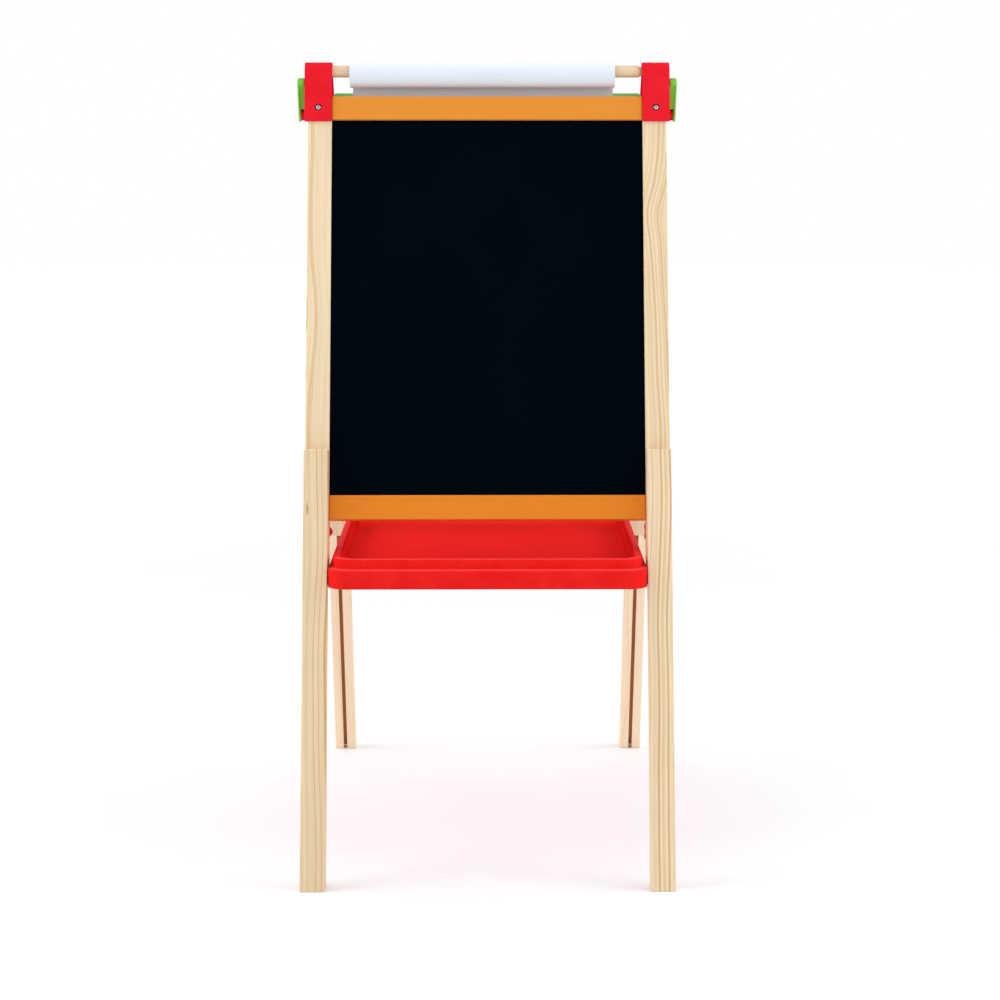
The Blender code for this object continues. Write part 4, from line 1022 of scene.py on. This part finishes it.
# ---- Studio ----
# A white floor under an even white sky and a high sun softened to a wide disc. Two soft lamps stand in
# front, and two high ones at the sides light the tray between the frames. The camera is three metres away.

FLOOR_RADIUS = 14.0
CAMERA_PLACE = (0.0, -2.917, 0.942)
CAMERA_PITCH = math.radians(9.57)
CAMERA_YAW = math.radians(0.34)
CAMERA_LENS = 76.3
SKY_STRENGTH = 0.62
SUN_STRENGTH = 0.60
SUN_TURN = (math.radians(-14), math.radians(-10), 0.0)
SUN_WIDTH = math.radians(70)
# Name: (place, aimed at, side of the square, watts)
LAMPS = {
    "key_lamp": ((-1.8, -2.9, 2.2), (0.0, 0.0, 0.55), 1.8, 6.0),
    "fill_lamp": ((2.3, -2.4, 1.4), (0.0, 0.0, 0.5), 1.6, 10.0),
    "left_lamp": ((-2.8, -0.3, 2.2), (0.0, 0.0, 0.4), 2.0, 50.0),
    "right_lamp": ((2.8, -0.3, 2.2), (0.0, 0.0, 0.4), 2.0, 50.0),
}


def studio_floor():
    bpy.ops.object.select_all(action="DESELECT")
    bpy.ops.mesh.primitive_circle_add(vertices=96, radius=FLOOR_RADIUS, fill_type="NGON", location=(0, 0, 0))
    floor = bpy.context.object
    floor.name = "studio_floor"
    material, tree, shader, place = new_material("white_floor", 0.7)
    tone = noise(tree, place, 3.0, 3.0, 0.5).outputs["Fac"]
    colour = graded(tree, tone, [(0.3, paint_colour(236, 241, 245)), (0.7, paint_colour(240, 245, 249))])
    away = add_node(tree, "VectorMath", {0: place}, operation="LENGTH").outputs["Value"]
    far = graded(tree, reckon(tree, "DIVIDE", away, FLOOR_RADIUS), [(0.09, 0.13), (0.20, 1.0)])
    tree.links.new(blended(tree, far, colour, (0.0, 0.0, 0.0, 1.0)), shader.inputs["Base Color"])
    tree.links.new(far, shader.inputs["Emission Color"])
    shader.inputs["Emission Strength"].default_value = 1.05
    shader.inputs["Specular IOR Level"].default_value = 0.0
    floor.data.materials.append(material)
    floor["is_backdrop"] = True


def studio_lamp(name, place, target, side, watts):
    light = bpy.data.lights.new(name, "AREA")
    light.shape = "SQUARE"
    light.size = side
    light.energy = watts
    lamp = bpy.data.objects.new(name, light)
    bpy.context.scene.collection.objects.link(lamp)
    aim = Vector(target) - Vector(place)
    lamp.matrix_world = Matrix.Translation(place) @ aim.to_track_quat("-Z", "Y").to_matrix().to_4x4()


studio_floor()
for name, values in LAMPS.items():
    studio_lamp(name, *values)
sun = bpy.data.objects.new("soft_sun", bpy.data.lights.new("soft_sun", "SUN"))
sun.data.energy = SUN_STRENGTH
sun.data.angle = SUN_WIDTH
sun.rotation_euler = SUN_TURN
bpy.context.scene.collection.objects.link(sun)
sky = bpy.data.worlds.new("white_sky")
sky.use_nodes = True
seen = add_node(sky.node_tree, "LightPath").outputs["Is Camera Ray"]
strength = reckon(sky.node_tree, "MULTIPLY_ADD", seen, 1.0 - SKY_STRENGTH, SKY_STRENGTH)
sky.node_tree.nodes["Background"].inputs["Color"].default_value = (1.0, 1.0, 1.0, 1.0)
sky.node_tree.links.new(strength, sky.node_tree.nodes["Background"].inputs["Strength"])
bpy.context.scene.world = sky
bpy.context.scene.view_settings.view_transform = "Standard"

camera = bpy.data.objects.new("studio_camera", bpy.data.cameras.new("studio_camera"))
camera.data.lens = CAMERA_LENS
camera.location = CAMERA_PLACE
camera.rotation_euler = (math.pi / 2 - CAMERA_PITCH, 0.0, -CAMERA_YAW)
bpy.context.scene.collection.objects.link(camera)
bpy.context.scene.camera = camera

# ---- Sizes ----
# The box round the finished model, leaving out the floor.

low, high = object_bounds()
